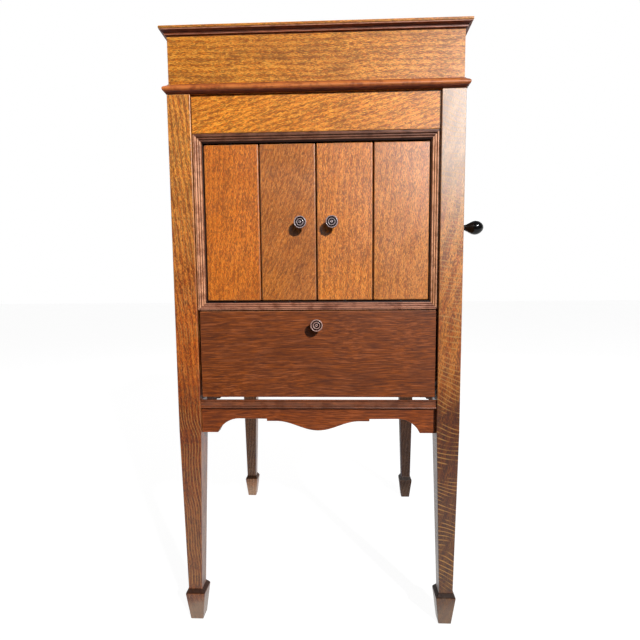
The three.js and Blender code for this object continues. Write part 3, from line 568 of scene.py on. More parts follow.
class Graph:
    """The nodes of one material, or of the world, added from the pattern to the shader."""

    def __init__(self, name: str, world: bool = False) -> None:
        """Starts a material or a world.

        Args:
            name: its name.
            world: it is a world.
        """
        self.owner = (bpy.data.worlds if world else bpy.data.materials).new(name)
        self.owner.use_nodes = True
        self.tree = self.owner.node_tree
        self.shader = self.tree.nodes["Background" if world else "Principled BSDF"]

    def add(self, kind: str, values: dict, **settings: object) -> bpy.types.Node:
        """Adds a node.

        Args:
            kind: the node's type.
            values: for each input, by name or number, a socket to link or a value to set.
            **settings: the node's own properties.

        Returns:
            The node.
        """
        node = self.tree.nodes.new(kind)
        for key, value in settings.items():
            setattr(node, key, value)
        for key, value in values.items():
            self.put(node.inputs[key], value)
        return node

    def put(self, into: Socket, value: object) -> None:
        """Links a socket to an input, or sets the input's value.

        Args:
            into: the input.
            value: the socket or the value.
        """
        if isinstance(value, Socket):
            self.tree.links.new(value, into)
        else:
            into.default_value = value

    def surface(self, values: dict) -> Material | bpy.types.World:
        """Sets the shader's inputs.

        Args:
            values: a socket or a value for each input, by name.

        Returns:
            The finished material or world.
        """
        for key, value in values.items():
            self.put(self.shader.inputs[key], value)
        return self.owner

    def places(self, shift: Sequence[float] = (0, 0, 0)) -> Socket:
        """Object coordinates, moved by a shift."""
        coords = self.add("ShaderNodeTexCoord", {}).outputs["Object"]
        return self.add("ShaderNodeMapping", {"Vector": coords, "Location": shift}).outputs[0]

    def stretched(self, vector: Socket, scale: Sequence[float]) -> Socket:
        """Coordinates scaled along each axis."""
        return self.add("ShaderNodeMapping", {"Vector": vector, "Scale": scale}).outputs[0]

    def noise(
        self, vector: Socket, scale: float, detail: float, rough: float = 0.5, kind: str = "Fac"
    ) -> Socket:
        """Fractal noise; `scale` is in features per metre, and `kind` is "Fac" or "Color"."""
        values = {"Vector": vector, "Scale": scale, "Detail": detail, "Roughness": rough}
        return self.add("ShaderNodeTexNoise", values).outputs[kind]

    def math(self, operation: str, first: object, second: object = 0.0) -> Socket:
        """A math node on one or two values."""
        return self.add("ShaderNodeMath", {0: first, 1: second}, operation=operation).outputs[0]

    def total(self, first: object, second: object) -> Socket:
        """The sum of two values."""
        return self.math("ADD", first, second)

    def product(self, first: object, second: object) -> Socket:
        """The product of two values."""
        return self.math("MULTIPLY", first, second)

    def difference(self, first: object, second: object) -> Socket:
        """The first value less the second."""
        return self.math("SUBTRACT", first, second)

    def vector(self, operation: str, first: object, second: object, kind: str = "Vector") -> Socket:
        """A vector math node on two vectors; `kind` is "Value" where it gives a number."""
        node = self.add("ShaderNodeVectorMath", {0: first, 1: second}, operation=operation)
        return node.outputs[kind]

    def range(
        self, value: Socket, low: float, high: float, out_low: float = 0.0, out_high: float = 1.0
    ) -> Socket:
        """Maps low..high smoothly to out_low..out_high, clamped."""
        values = {"Value": value, 1: low, 2: high, 3: out_low, 4: out_high}
        return self.add("ShaderNodeMapRange", values, interpolation_type="SMOOTHSTEP").outputs[0]

    def mix(self, share: object, first: object, second: object, blend: str = "MIX") -> Socket:
        """Mixes two colours.

        Args:
            share: how much of the second shows, 0 to 1.
            first: the first colour, a socket or three numbers.
            second: the second colour.
            blend: how they are mixed.

        Returns:
            The mixed colour.
        """
        opaque = [(*c, 1.0) if isinstance(c, tuple) and len(c) == 3 else c for c in (first, second)]
        values = {0: share, 6: opaque[0], 7: opaque[1]}
        return self.add("ShaderNodeMix", values, data_type="RGBA", blend_type=blend).outputs[2]

    def attribute(self, name: str) -> Socket:
        """A number stored on the mesh's points."""
        return self.add("ShaderNodeAttribute", {}, attribute_name=name).outputs["Fac"]

    def bump(self, height: Socket, distance: float, strength: float) -> Socket:
        """A normal bent by a height map; `distance` is the height of 1 in metres."""
        values = {"Height": height, "Distance": distance, "Strength": strength}
        return self.add("ShaderNodeBump", values).outputs[0]


@dataclass(frozen=True)
class Oak:
    """Stained and varnished oak with growth rings, pores, rays, rubbed edges and grime, and with
    painted shade in its hollows and corners and painted highlights on some crests.

    Attributes:
        name: name of the finish.
        light: colour between the rings.
        dark: colour of the rings.
        pore: colour in the pores.
        smoke: colour of the duller patches.
        rubbed: colour of worn edges, and of the painted highlights on some crests.
        pores: how strongly the pores show, 0 to 1.
        coat: weight of the varnish.
        gloss: roughness under the varnish.
        figure: how strongly the rings show, 0 to 1.
        patches: how strongly the duller patches show, 0 to 1.
        ring: spacing of the growth rings.
        dash: length of the pores over their width.
        grain: large pores per metre across the grain.
    """

    name: str
    light: Colour
    dark: Colour
    pore: Colour
    smoke: Colour
    rubbed: Colour
    pores: float
    coat: float
    gloss: float = 0.5
    figure: float = 0.16
    patches: float = 0.4
    ring: float = 8 * MM
    dash: float = 4.0
    grain: float = 720.0

    def material(
        self,
        way: Way,
        seed: int,
        heart: tuple[float, float] = (0.35, 0.12),
        tint: Colour = (1.0, 1.0, 1.0),
        fade: Callable[[Graph, Socket], Socket] | None = None,
        slant: tuple[float, float, float] = (0.0, 0.0, 0.0),
        flakes: tuple[float, float, float] | None = None,
    ) -> Material:
        """The finish on one board.

        Rings are sin(2 pi d / spacing) of the distance d to the heart of the tree, which lies along
        the grain. Pores and rays are noise drawn out along the grain and cut off at a level. The
        point attribute "worn" lightens the colour where it is over 0, as wear and, on some crests, as a
        painted highlight, and darkens it where it is under, as grime and as painted shade in hollows
        and shut-in corners.

        Args:
            way: the axis of the grain.
            seed: which tree the board comes from.
            heart: where the tree's heart lies, across the grain.
            tint: colour that the whole board is multiplied by.
            fade: a last change of colour, given the graph and the colour so far.
            slant: how far the grain moves in each direction for a metre along the board.
            flakes: ray flakes per metre in each direction, if it has them.

        Returns:
            The material.
        """
        graph = Graph(f"{self.name}_{way.name.lower()}_{seed}")
        spread = np.random.default_rng(seed).uniform(-4, 4, 3)
        placed = graph.places(tuple(spread))
        swayed = self._sway(graph, placed, way, slant)

        def grained(scale: float, along: float, detail: float, rough: float = 0.5) -> Socket:
            """Noise that is drawn out along the grain.

            Args:
                scale: features per metre across the grain.
                along: how many times longer they are along it.
                detail: octaves of the noise.
                rough: share of each octave in the next.

            Returns:
                The noise.
            """
            stretch = [1.0, 1.0, 1.0]
            stretch[way.value] = 1 / along
            drawn = graph.stretched(swayed, tuple(stretch))
            return graph.noise(drawn, scale, detail, rough)

        def pored(scale: float, full: float, most: float) -> Socket:
            """Pores, `scale` of them per metre across the grain: noise cut off at a level."""
            level = graph.total(grained(scale, self.dash, 1.0, 0.6), rows)
            return graph.range(level, 0.54, full, 0.0, most)

        rings = self._rings(graph, swayed, way, heart, spread)
        fibres = grained(900.0, 1.3 * self.dash, 3.0, 0.7)
        crowd = graph.range(grained(70.0, 2.0, 3.0), 0.35, 0.68, -0.04, 0.05)
        rows = graph.total(crowd, graph.product(rings, 0.25 * self.figure))
        large = pored(self.grain, 0.62, 1.0)
        small = pored(1.7 * self.grain, 0.61, 0.8)
        speck = graph.product(graph.math("MAXIMUM", large, small), self.pores)
        rays = graph.range(grained(600.0, self.dash, 1.0), 0.53, 0.64, 0.0, 0.7)
        greyed = graph.range(grained(560.0, self.dash, 2.0), 0.52, 0.64, 0.0, 0.35)

        tone = graph.total(graph.product(rings, self.figure), graph.product(fibres, 1.0 - 0.5 * self.figure))
        base = graph.mix(graph.range(tone, 0.32, 0.68), self.light, self.dark)
        base = graph.mix(greyed, base, self.smoke)
        base = graph.mix(rays, base, tuple(min(1.0, 1.1 * c + 0.02) for c in self.light))
        clouds = graph.range(graph.noise(placed, 7.0, 5.0, 0.62), 0.42, 0.72, 0.0, self.patches)
        streaks = graph.range(grained(34.0, 6.0, 4.0, 0.62), 0.46, 0.7, 0.0, self.patches)
        base = graph.mix(graph.math("MAXIMUM", clouds, streaks), base, self.smoke)
        base = graph.mix(speck, base, self.pore)
        base = graph.mix(1.0, base, tint, "MULTIPLY")

        # Over 0 the rubbed colour is wear, and on some crests also a painted highlight; under 0 the dark
        # colour is grime, and painted shade in hollows and on faces inside the case.
        worn = graph.attribute("worn")
        scuffs = graph.range(graph.noise(placed, 60.0, 3.0, 0.7), 0.34, 0.6, 0.2, 0.85)
        base = graph.mix(graph.product(graph.math("MAXIMUM", worn, 0.0), scuffs), base, self.rubbed)
        grime_and_painted_shade = graph.product(graph.math("MAXIMUM", graph.product(worn, -1.0), 0.0), 0.9)
        base = graph.mix(grime_and_painted_shade, base, tuple(0.12 * c for c in self.dark))
        if fade:
            base = fade(graph, base)
        if flakes:
            base = graph.mix(self._flakes(graph, placed, flakes), base, linear(188, 136, 72))
        smears = graph.range(graph.noise(placed, 14.0, 4.0, 0.6), 0.3, 0.75, -0.05, 0.09)
        film = graph.range(graph.noise(placed, 24.0, 4.0, 0.6), 0.3, 0.7, 0.3, 0.38)
        return graph.surface(
            {
                "Base Color": base,
                "Roughness": graph.total(graph.total(smears, self.gloss), graph.product(speck, 0.18)),
                "Specular IOR Level": 0.2,
                "Coat Weight": graph.product(graph.range(grime_and_painted_shade, 0.0, 0.5, 1.0, 0.0), self.coat),
                "Coat Roughness": film,
                "Normal": graph.bump(graph.difference(graph.product(fibres, 0.25), speck), 0.14 * MM, 0.8),
            }
        )

    def _sway(
        self, graph: Graph, placed: Socket, way: Way, slant: tuple[float, float, float]
    ) -> Socket:
        """Slants coordinates, then moves them across the grain by a slow and a quick noise.

        Args:
            graph: the material's nodes.
            placed: the coordinates.
            way: the axis of the grain.
            slant: shift in each direction for a metre along the grain.

        Returns:
            The moved coordinates.
        """
        across = np.ones(3)
        across[way.value] = 0.0
        if any(slant):
            along = graph.vector("DOT_PRODUCT", placed, tuple(1.0 - across), "Value")
            shift = graph.vector("MULTIPLY", along, slant)
            placed = graph.vector("SUBTRACT", placed, shift)
        slow, quick = (5.0, 20 * MM), (26.0, 9 * MM / self.dash)
        for scale, reach in (slow, quick):
            noise = graph.noise(placed, scale, 1.0, kind="Color")
            centred = graph.vector("SUBTRACT", noise, (0.5, 0.5, 0.5))
            moved = graph.vector("MULTIPLY", centred, tuple(reach * across))
            placed = graph.vector("ADD", placed, moved)
        return placed

    @staticmethod
    def _flakes(graph: Graph, placed: Socket, flakes: tuple[float, float, float]) -> Socket:
        """Thin pale wavering lines where rays come to the surface, above the foot: the crests of a
        wave, broken up.

        Args:
            graph: the material's nodes.
            placed: the coordinates.
            flakes: waves per metre in each direction.

        Returns:
            How strongly they show.
        """
        count = graph.vector("DOT_PRODUCT", placed, flakes, "Value")
        wander = graph.noise(placed, 10.0, 1.0, 0.5)
        phase = graph.product(graph.total(count, graph.product(wander, 7.0)), 2 * math.pi)
        crests = graph.range(graph.math("SINE", phase), 0.6, 1.0, 0.0, 0.75)
        broken = graph.range(graph.noise(placed, 30.0, 3.0), 0.38, 0.56)
        height = graph.add("ShaderNodeSeparateXYZ", {0: graph.places()}).outputs["Z"]
        return graph.product(graph.product(crests, broken), graph.range(height, 0.06, 0.075))

    def _rings(
        self, graph: Graph, swayed: Socket, way: Way, heart: tuple[float, float], spread: Array
    ) -> Socket:
        """Growth rings: the sine of the distance to a heart that leans a little off the grain.

        Args:
            graph: the material's nodes.
            swayed: the coordinates.
            way: the axis of the grain.
            heart: where the tree's heart lies, across the grain.
            spread: how far the coordinates have been shifted.

        Returns:
            0 between the rings to 1 in them.
        """
        middle = np.zeros(3)
        middle[list(way.across)] = heart
        lean = np.ones(3)
        lean[way.value] = 0.035
        radial = graph.vector("SUBTRACT", swayed, tuple(middle + spread))
        leaned = graph.vector("MULTIPLY", radial, tuple(lean))
        distance = graph.vector("LENGTH", leaned, (0, 0, 0), "Value")
        wander = graph.noise(swayed, 16.0, 3.0)
        phase = graph.total(graph.product(distance, 2 * math.pi / self.ring), graph.product(wander, 5.0))
        return graph.range(graph.math("SINE", phase), -0.7, 1.0)


@dataclass(frozen=True)
class Metal:
    """Plated or bare metal with tarnish and fine scratches.

    Attributes:
        name: name of the finish.
        colour: the clean metal.
        tarnish: the dulled metal.
        rough: roughness where clean.
        dulled: how much of it is dulled, 0 to 1.
    """

    name: str
    colour: Colour
    tarnish: Colour
    rough: float
    dulled: float

    def material(self) -> Material:
        """The finish.

        Returns:
            The material.
        """
        graph = Graph(self.name)
        placed = graph.places()
        clouds = graph.noise(placed, 110.0, 5.0, 0.65)
        spots = graph.noise(placed, 420.0, 2.0)
        dull = graph.range(clouds, 0.62 - 0.3 * self.dulled, 0.8 - 0.3 * self.dulled)
        pits = graph.range(spots, 0.66, 0.74)
        share = graph.math("MAXIMUM", graph.product(dull, 0.85), pits)
        scratches = graph.noise(graph.stretched(placed, (1.0, 0.06, 1.0)), 1500.0, 2.0)
        rough = graph.total(graph.product(share, 0.22), self.rough)
        return graph.surface(
            {
                "Base Color": graph.mix(share, self.colour, self.tarnish),
                "Metallic": 1.0,
                "Roughness": graph.total(rough, graph.product(scratches, 0.08)),
                "Normal": graph.bump(graph.difference(scratches, pits), 0.03 * MM, 0.5),
            }
        )


@dataclass(frozen=True)
class Lacquer:
    """A dark finish with a polish on turned wood, its crests lightened as wear and painted
    highlight and its grooves darkened as painted shade.

    Attributes:
        name: name of the finish.
        colour: the lacquer.
        rubbed: colour where it is rubbed, which also paints the highlights on the crests.
        rough: roughness of the polish.
        coat: weight of the clear coat.
    """

    name: str
    colour: Colour
    rubbed: Colour
    rough: float
    coat: float = 1.0

    def material(self) -> Material:
        """The finish.

        Returns:
            The material.
        """
        graph = Graph(self.name)
        placed = graph.places()
        cloud = graph.range(graph.noise(placed, 160.0, 4.0, 0.6), 0.45, 0.75)
        lines = graph.noise(graph.stretched(placed, (1.0, 0.1, 1.0)), 900.0, 2.0)
        worn = graph.attribute("worn")
        # Crests take the rubbed colour, partly as wear and partly as a painted highlight.
        crest_wear_and_highlight = graph.product(graph.math("MAXIMUM", worn, 0.0), graph.range(cloud, 0.0, 1.0, 0.75, 1.0))
        # Grooves are darkened as painted shade.
        groove = graph.math("MAXIMUM", graph.product(worn, -0.8), 0.0)
        base = graph.mix(graph.product(cloud, 0.3), self.colour, self.rubbed)
        base = graph.mix(crest_wear_and_highlight, base, self.rubbed)
        return graph.surface(
            {
                "Base Color": graph.mix(groove, base, tuple(0.15 * c for c in self.colour)),
                "Roughness": graph.total(graph.product(cloud, 0.16), self.rough),
                "Coat Weight": self.coat,
                "Coat Roughness": 0.1,
                "Specular IOR Level": 0.5 * self.coat,
                "Normal": graph.bump(lines, 0.03 * MM, 0.5),
            }
        )


@dataclass(frozen=True)
class Felt:
    """Woollen cloth glued to a disc.

    Attributes:
        name: name of the finish.
        colour: the wool.
        faded: the wool where it is worn.
    """

    name: str
    colour: Colour
    faded: Colour

    def material(self) -> Material:
        """The finish.

        Returns:
            The material.
        """
        graph = Graph(self.name)
        placed = graph.places()
        hairs = graph.noise(placed, 1400.0, 3.0, 0.7)
        tufts = graph.noise(placed, 260.0, 3.0, 0.6)
        worn = graph.range(graph.noise(placed, 18.0, 3.0), 0.4, 0.75)
        share = graph.product(graph.total(worn, hairs), 0.5)
        return graph.surface(
            {
                "Base Color": graph.mix(share, self.colour, self.faded),
                "Roughness": 0.95,
                "Sheen Weight": 0.5,
                "Sheen Roughness": 0.5,
                "Normal": graph.bump(graph.total(hairs, tufts), 0.5 * MM, 0.9),
            }
        )


GOLDEN = Oak(
    "golden_oak", linear(254, 174, 62), linear(216, 120, 16), linear(92, 44, 6), linear(156, 94, 34),
    linear(226, 160, 92), coat=0.4, pores=0.64, dash=4.6, grain=730.0,
)
TAWNY = Oak(
    "tawny_oak", linear(246, 168, 68), linear(204, 110, 20), linear(74, 36, 10), linear(150, 90, 40),
    linear(206, 150, 110), pores=0.66, figure=0.2, patches=0.2, coat=1.0,
)
AMBER = Oak(
    "amber_oak", linear(246, 154, 50), linear(210, 108, 12), linear(112, 52, 8), linear(164, 92, 36),
    linear(150, 104, 72), pores=0.66, figure=0.1, patches=0.25, coat=1.0,
)
RUSSET = Oak(
    "russet_oak", linear(160, 80, 22), linear(96, 43, 16), linear(50, 22, 12), linear(84, 40, 22),
    linear(176, 110, 70), pores=0.42, figure=0.04, patches=0.35, coat=0.3, dash=24.0, grain=820.0,
)
UMBER = Oak(
    "umber_oak", linear(134, 72, 36), linear(92, 44, 24), linear(44, 22, 16), linear(88, 52, 42),
    linear(216, 150, 118), pores=0.5, patches=0.3, coat=0.45, dash=12.0,
)
PLAIN = Oak(
    "plain_wood", linear(170, 118, 70), linear(140, 90, 50), linear(84, 52, 32), linear(120, 84, 58),
    linear(160, 116, 76), gloss=0.62, coat=0.0, pores=0.45,
)
NICKEL = Metal("nickel", linear(206, 203, 196), linear(150, 140, 122), 0.2, 0.35)
BRASS = Metal("brass", linear(196, 160, 92), linear(128, 98, 54), 0.28, 0.45)
STEEL = Metal("steel", linear(168, 168, 170), linear(96, 90, 84), 0.34, 0.5)
IRON = Metal("iron", linear(58, 60, 62), linear(38, 34, 32), 0.55, 0.5)
# The knobs' pale rubbed colours also paint the highlight rings on their crests.
KNOB_LACQUER = Lacquer("knob_lacquer", linear(58, 40, 44), linear(186, 166, 168), 0.22)
FLAP_LACQUER = Lacquer("flap_knob_lacquer", linear(88, 54, 48), linear(200, 160, 148), 0.24)
BLACK_LACQUER = Lacquer("black_lacquer", linear(12, 12, 13), linear(28, 26, 28), 0.16, 0.3)
WOOL = Felt("wool", linear(42, 74, 48), linear(86, 104, 70))


# ---------------------------------------------------------------- legs, rails and panels


@dataclass(frozen=True)
class LegLook:
    """What sets one leg apart: its wood, and on some legs painted glare, painted reflection and
    painted shade.

    Attributes:
        tint: colour that it is multiplied by.
        slant: shift of the grain for a metre of height.
        flakes: ray flakes per metre in each direction.
        mid: colour that it is multiplied by from its top to its middle.
        low: colour that its lower half is multiplied by as well.
        painted_glare: how much painted glare pales its top, 0 to 1.
        scuffed: how pale its foot is rubbed, 0 to 1.
        coat: weight of its varnish.
    """

    tint: Colour
    slant: tuple[float, float, float]
    flakes: tuple[float, float, float] | None
    mid: Colour
    low: Colour
    painted_glare: float = 0.0
    scuffed: float = 0.6
    coat: float = 1.0

    def fade(self, graph: Graph, base: Socket) -> Socket:
        """Pales the leg's top with painted glare, darkens it towards the floor and scuffs its foot pale.

        Args:
            graph: the material's nodes.
            base: the colour so far.

        Returns:
            The changed colour.
        """
        coords = graph.places()
        height = graph.add("ShaderNodeSeparateXYZ", {0: coords}).outputs["Z"]
        rough_edge = graph.product(graph.noise(coords, 34.0, 3.0, 0.6), 0.05)
        ragged = graph.total(rough_edge, height)
        painted_glare, rubbed, grey_foot = linear(164, 146, 130), linear(166, 142, 120), (0.86, 1.28, 3.0)
        # The top is paled towards a grey pink, as painted glare.
        base = graph.mix(graph.range(ragged, 0.66, 0.82, 0.0, self.painted_glare), base, painted_glare)
        steps = (0.86, 0.5, self.mid), (0.5, 0.37, self.low), (0.4, 0.1, grey_foot)
        for upper, lower, colour in steps:
            share = graph.range(ragged, upper, lower)
            base = graph.mix(share, base, graph.mix(1.0, base, colour, "MULTIPLY"))
        scuffed = graph.mix(self.scuffed, base, rubbed)
        return graph.mix(graph.range(ragged, 0.075, 0.05, 0.0, 0.9), base, scuffed)


@dataclass
class Legs:
    """Four square legs that taper below the case and end in spade feet.

    Attributes:
        heights: heights where a leg's section is given.
        insets: set-back of the outer faces at those heights.
        widths: width of the section at those heights.
        arris: radius of the edges.
        case_floor: height over which the inner faces, in the dark of the case, are darkened as painted
            shade.
        looks: what each leg's wood looks like, with the painted light and shade on some legs.
    """

    heights: tuple[float, ...] = (0.0, 0.051, 0.0595, 0.345, 0.8895)
    insets: tuple[float, ...] = (0.006, 0.0, 0.0044, 0.0, 0.0)
    widths: tuple[float, ...] = (0.022, 0.034, 0.0238, 0.0375, 0.0375)
    arris: float = 1.3 * MM
    case_floor: float = 0.397
    looks: dict[str, LegLook] = field(
        default_factory=lambda: {
            "leg_front_left": LegLook(
                (1.08, 1.02, 0.85), (-0.12, 0.05, 0.0), (210.0, 120.0, 14.0),
                (0.72, 0.48, 0.36), (0.45, 0.38, 0.42),
            ),
            # The front right leg's top is paled as painted glare.
            "leg_front_right": LegLook(
                (1.0, 0.98, 0.96), (0.1, 0.05, 0.0), (30.0, 30.0, 130.0),
                (0.74, 0.59, 0.42), (0.27, 0.2, 0.12), painted_glare=0.6, scuffed=0.32,
            ),
            # The rear left leg's lower half is lightened and greyed as a painted reflection; the rear right
            # leg is darkened throughout, most in its lower half, as painted shade.
            "leg_rear_left": LegLook(
                (1.0, 1.0, 1.0), (0.1, 0.05, 0.0), (180.0, 90.0, 14.0), (0.74, 0.6, 0.54), (1.2, 1.2, 1.9)
            ),
            "leg_rear_right": LegLook(
                (0.6, 0.6, 0.66), (0.1, 0.05, 0.0), None, (0.74, 0.6, 0.54), (0.25, 0.28, 0.56),
                scuffed=0.08, coat=0.15,
            ),
        }
    )

    def eased(self, height: Array, values: Sequence[float]) -> Array:
        """Values at some heights, with the corners softened: the mean of three straight readings.

        Args:
            height: where they are wanted.
            values: what they are at `heights`.

        Returns:
            The values.
        """
        soft = np.minimum(1.2 * MM, height)
        return sum(np.interp(height + k * soft, self.heights, values) for k in (-1, 0, 1)) / 3

    def leg(self, low: Array, high: Array, right: bool, rear: bool) -> Skin:
        """One leg.

        Args:
            low: lowest corner of its box.
            high: highest corner of its box.
            right: its outer face is on the right.
            rear: its outer face is at the back.

        Returns:
            Its skin.
        """
        ankle, taper = np.linspace(0.043, 0.070, 19), np.linspace(0.1, 0.33, 6)
        shoulder, floor = np.linspace(0.343, 0.347, 3), self.case_floor + np.array([-1, 1]) * MM
        at = np.concatenate([[0.0, 0.02], ankle, taper, shoulder, floor, [0.6, self.heights[-1]]])
        inset, width = self.eased(at, self.insets), self.eased(at, self.widths)
        limits = []
        for axis, outer_high in ((0, right), (1, rear)):
            near = high[axis] - inset - width if outer_high else low[axis] + inset
            limits.append((near, near + width))
        lows = np.stack([limits[0][0], limits[1][0]], -1)
        highs = np.stack([limits[0][1], limits[1][1]], -1)
        skin = bar(Way.Z, at, lows, highs, self.arris)
        height = skin.rows[..., 2]
        grimy = (height > self.heights[1] + 0.5 * MM) & (height < self.heights[2] - 0.5 * MM)
        sideways = skin.rows[..., 0] if right else -skin.rows[..., 0]
        inward = sideways < sideways.min(axis=1, keepdims=True) + 0.05 * MM
        # Inner faces inside the case are darkened as painted shade; the band on the foot's top is grime.
        shaded_inside = inward & (height > self.case_floor)
        return Skin(skin.rows, np.where(grimy | shaded_inside, -1.0, skin.worn))

    def build(self) -> None:
        """Makes the four legs."""
        places = ("front", False, (0.02, -0.3)), ("rear", True, (0.3, 0.05))
        for row, (end, rear, heart) in enumerate(places):
            for side, sign in SIDES:
                node = f"leg_{end}_{side}"
                low, high = span(node)
                centre = (low + high) / 2
                tree = (centre[0] + sign * heart[0], centre[1] + heart[1])
                look = self.looks[node]
                material = replace(TAWNY, coat=look.coat).material(
                    Way.Z, 11 + 2 * row + sign, tree, look.tint, look.fade, look.slant, look.flakes
                )
                piece(f"{node}_oak", [self.leg(low, high, sign > 0, rear)], material, "cabinet", [node])


@dataclass
class Apron:
    """A board whose lower edge runs from each end by a bracket, a cove, a flat and a step to a
    rounded drop in the middle.

    Attributes:
        bracket: height of the brackets at the ends.
        cove_from_end: distance from an end to the cove's centre.
        cove_height: height of the cove's centre.
        cove_radius: the cove's radius.
        cove_start: where the cove starts, in degrees round its centre.
        flat: height of the flat.
        step: height past the step.
        step_at: half the distance between the two steps.
        drop_half: half the width of the drop.
        drop: height of the drop's lowest point.
    """

    bracket: float = 0.3398
    cove_from_end: float = 0.0635
    cove_height: float = 0.3234
    cove_radius: float = 0.0406
    cove_start: float = 24.0
    flat: float = 0.3635
    step: float = 0.3597
    step_at: float = 0.0868
    drop_half: float = 0.070
    drop: float = 0.3435

    def edge(self, half: float) -> tuple[Array, Array]:
        """The lower edge from one end to the other.

        Args:
            half: half the board's length.

        Returns:
            Distance from the middle and height of each point.
        """
        turn = np.radians(np.linspace(self.cove_start, 90, 10))
        cove = half - self.cove_from_end + self.cove_radius * np.cos(turn)
        arch = self.cove_height + self.cove_radius * np.sin(turn)
        share = np.linspace(0, 1, 17)[:-1]
        end, step = [half, cove[0] + 0.05 * MM], [self.step_at, self.step_at - 0.1 * MM]
        along = np.concatenate([end, cove, step, self.drop_half * (1 - share)])
        wave = self.step - (self.step - self.drop) * (1 - np.cos(np.pi * share)) / 2
        height = np.concatenate([[self.bracket] * 2, arch, [self.flat, self.step], wave])
        left = np.stack([-along, height])
        middle = np.array([[0.0], [self.drop]])
        right = np.stack([along, height])[:, ::-1]
        whole = np.concatenate([left, middle, right], axis=1)
        return whole[0], whole[1]

    def skin(self, way: Way, low: Array, high: Array, arris: float) -> Skin:
        """The apron between the corners of a node's box.

        Args:
            way: the axis that it runs along, X or Y.
            low: lowest corner.
            high: highest corner.
            arris: radius of its edges.

        Returns:
            Its skin.
        """
        centre = (low + high) / 2
        offset, height = self.edge((high - low)[way.value] / 2)
        across = way.across
        lows = np.stack([np.full(offset.size, low[a]) for a in across], -1)
        highs = np.stack([np.full(offset.size, high[a]) for a in across], -1)
        lows[:, across.index(2)] = height
        return bar(way, centre[way.value] + offset, lows, highs, arris)


@dataclass
class Rails:
    """The rails between the front legs, and the aprons on three sides.

    Attributes:
        apron: the outline of the aprons.
        arris: radius of the aprons' edges.
        upper_bead: set-back of the beaded rail's face and drop from its top, in millimetres, from
            the upper bead through its quirk.
        lower_bead: set-back and height above its foot, from the lower quirk through its bead.
    """

    apron: Apron = field(default_factory=Apron)
    arris: float = 0.9 * MM
    upper_bead: tuple[tuple[float, float], ...] = (
        (1.6, 0.0), (0.7, 0.4), (0.3, 1.0), (0.5, 1.6), (1.5, 2.1), (1.7, 2.5), (0.9, 2.9),
    )
    lower_bead: tuple[tuple[float, float], ...] = (
        (0.9, 3.3), (1.6, 3.0), (1.2, 2.6), (0.3, 2.1), (0.0, 1.3), (0.2, 0.5), (0.9, 0.0),
    )

    def build(self) -> None:
        """Makes the frieze rail, the beaded rail and the aprons."""
        low, high = span("frieze_rail")
        tree, tint = (low[1] + 0.16, high[2] + 0.25), (1.12, 1.0, 0.7)
        material = GOLDEN.material(Way.X, 31, tree, tint, slant=(0.0, 0.0, 0.26))
        piece("frieze_board", [board(Way.X, low, high, 0.7 * MM)], material, "cabinet", ["frieze_rail"])
        dark = UMBER.material(Way.X, 33, (0.1, 0.2), (1.02, 0.8, 0.38))
        piece("beaded_rail", [self.beaded_rail()], dark, "cabinet", ["front_rail"])
        low, high = span("front_apron")
        material = RUSSET.material(Way.X, 35, (low[1] + 0.1, 0.5), (1.08, 1.0, 0.95))
        skin = self.apron.skin(Way.X, low, high, self.arris)
        piece("front_apron_board", [skin], material, "cabinet", ["front_apron"])
        for side, sign in SIDES:
            low, high = span(f"side_apron_{side}")
            material = replace(RUSSET, coat=0.1, gloss=0.8).material(Way.Y, 37 + sign, (0.6, sign * 0.1))
            skin = self.apron.skin(Way.Y, low, high, self.arris)
            piece(f"side_apron_board_{side}", [skin], material, "cabinet", [f"side_apron_{side}"])

    def beaded_rail(self) -> Skin:
        """The thin rail under the flap: a face between an upper and a lower bead, each set off by
        a quirk.

        Returns:
            Its skin.
        """
        low, high = span("front_rail")
        depth, foot, top = low[1], low[2], high[2]
        points = [(high[1], foot), (high[1], top)]
        points += [(depth + back * MM, top - down * MM) for back, down in self.upper_bead]
        points += [(depth + back * MM, foot + up * MM) for back, up in self.lower_bead]
        profile = np.array(points)

        def section(x: float) -> Callable[[Array], Array]:
            """Puts the section at x."""
            return lambda corners: np.column_stack([np.full(len(corners), x), corners])

        # Its quirks are darkened a little as painted shade and its crests lightened a little as wear.
        return strip(profile, [section(low[0]), section(high[0])], 0.15 * outward(profile))


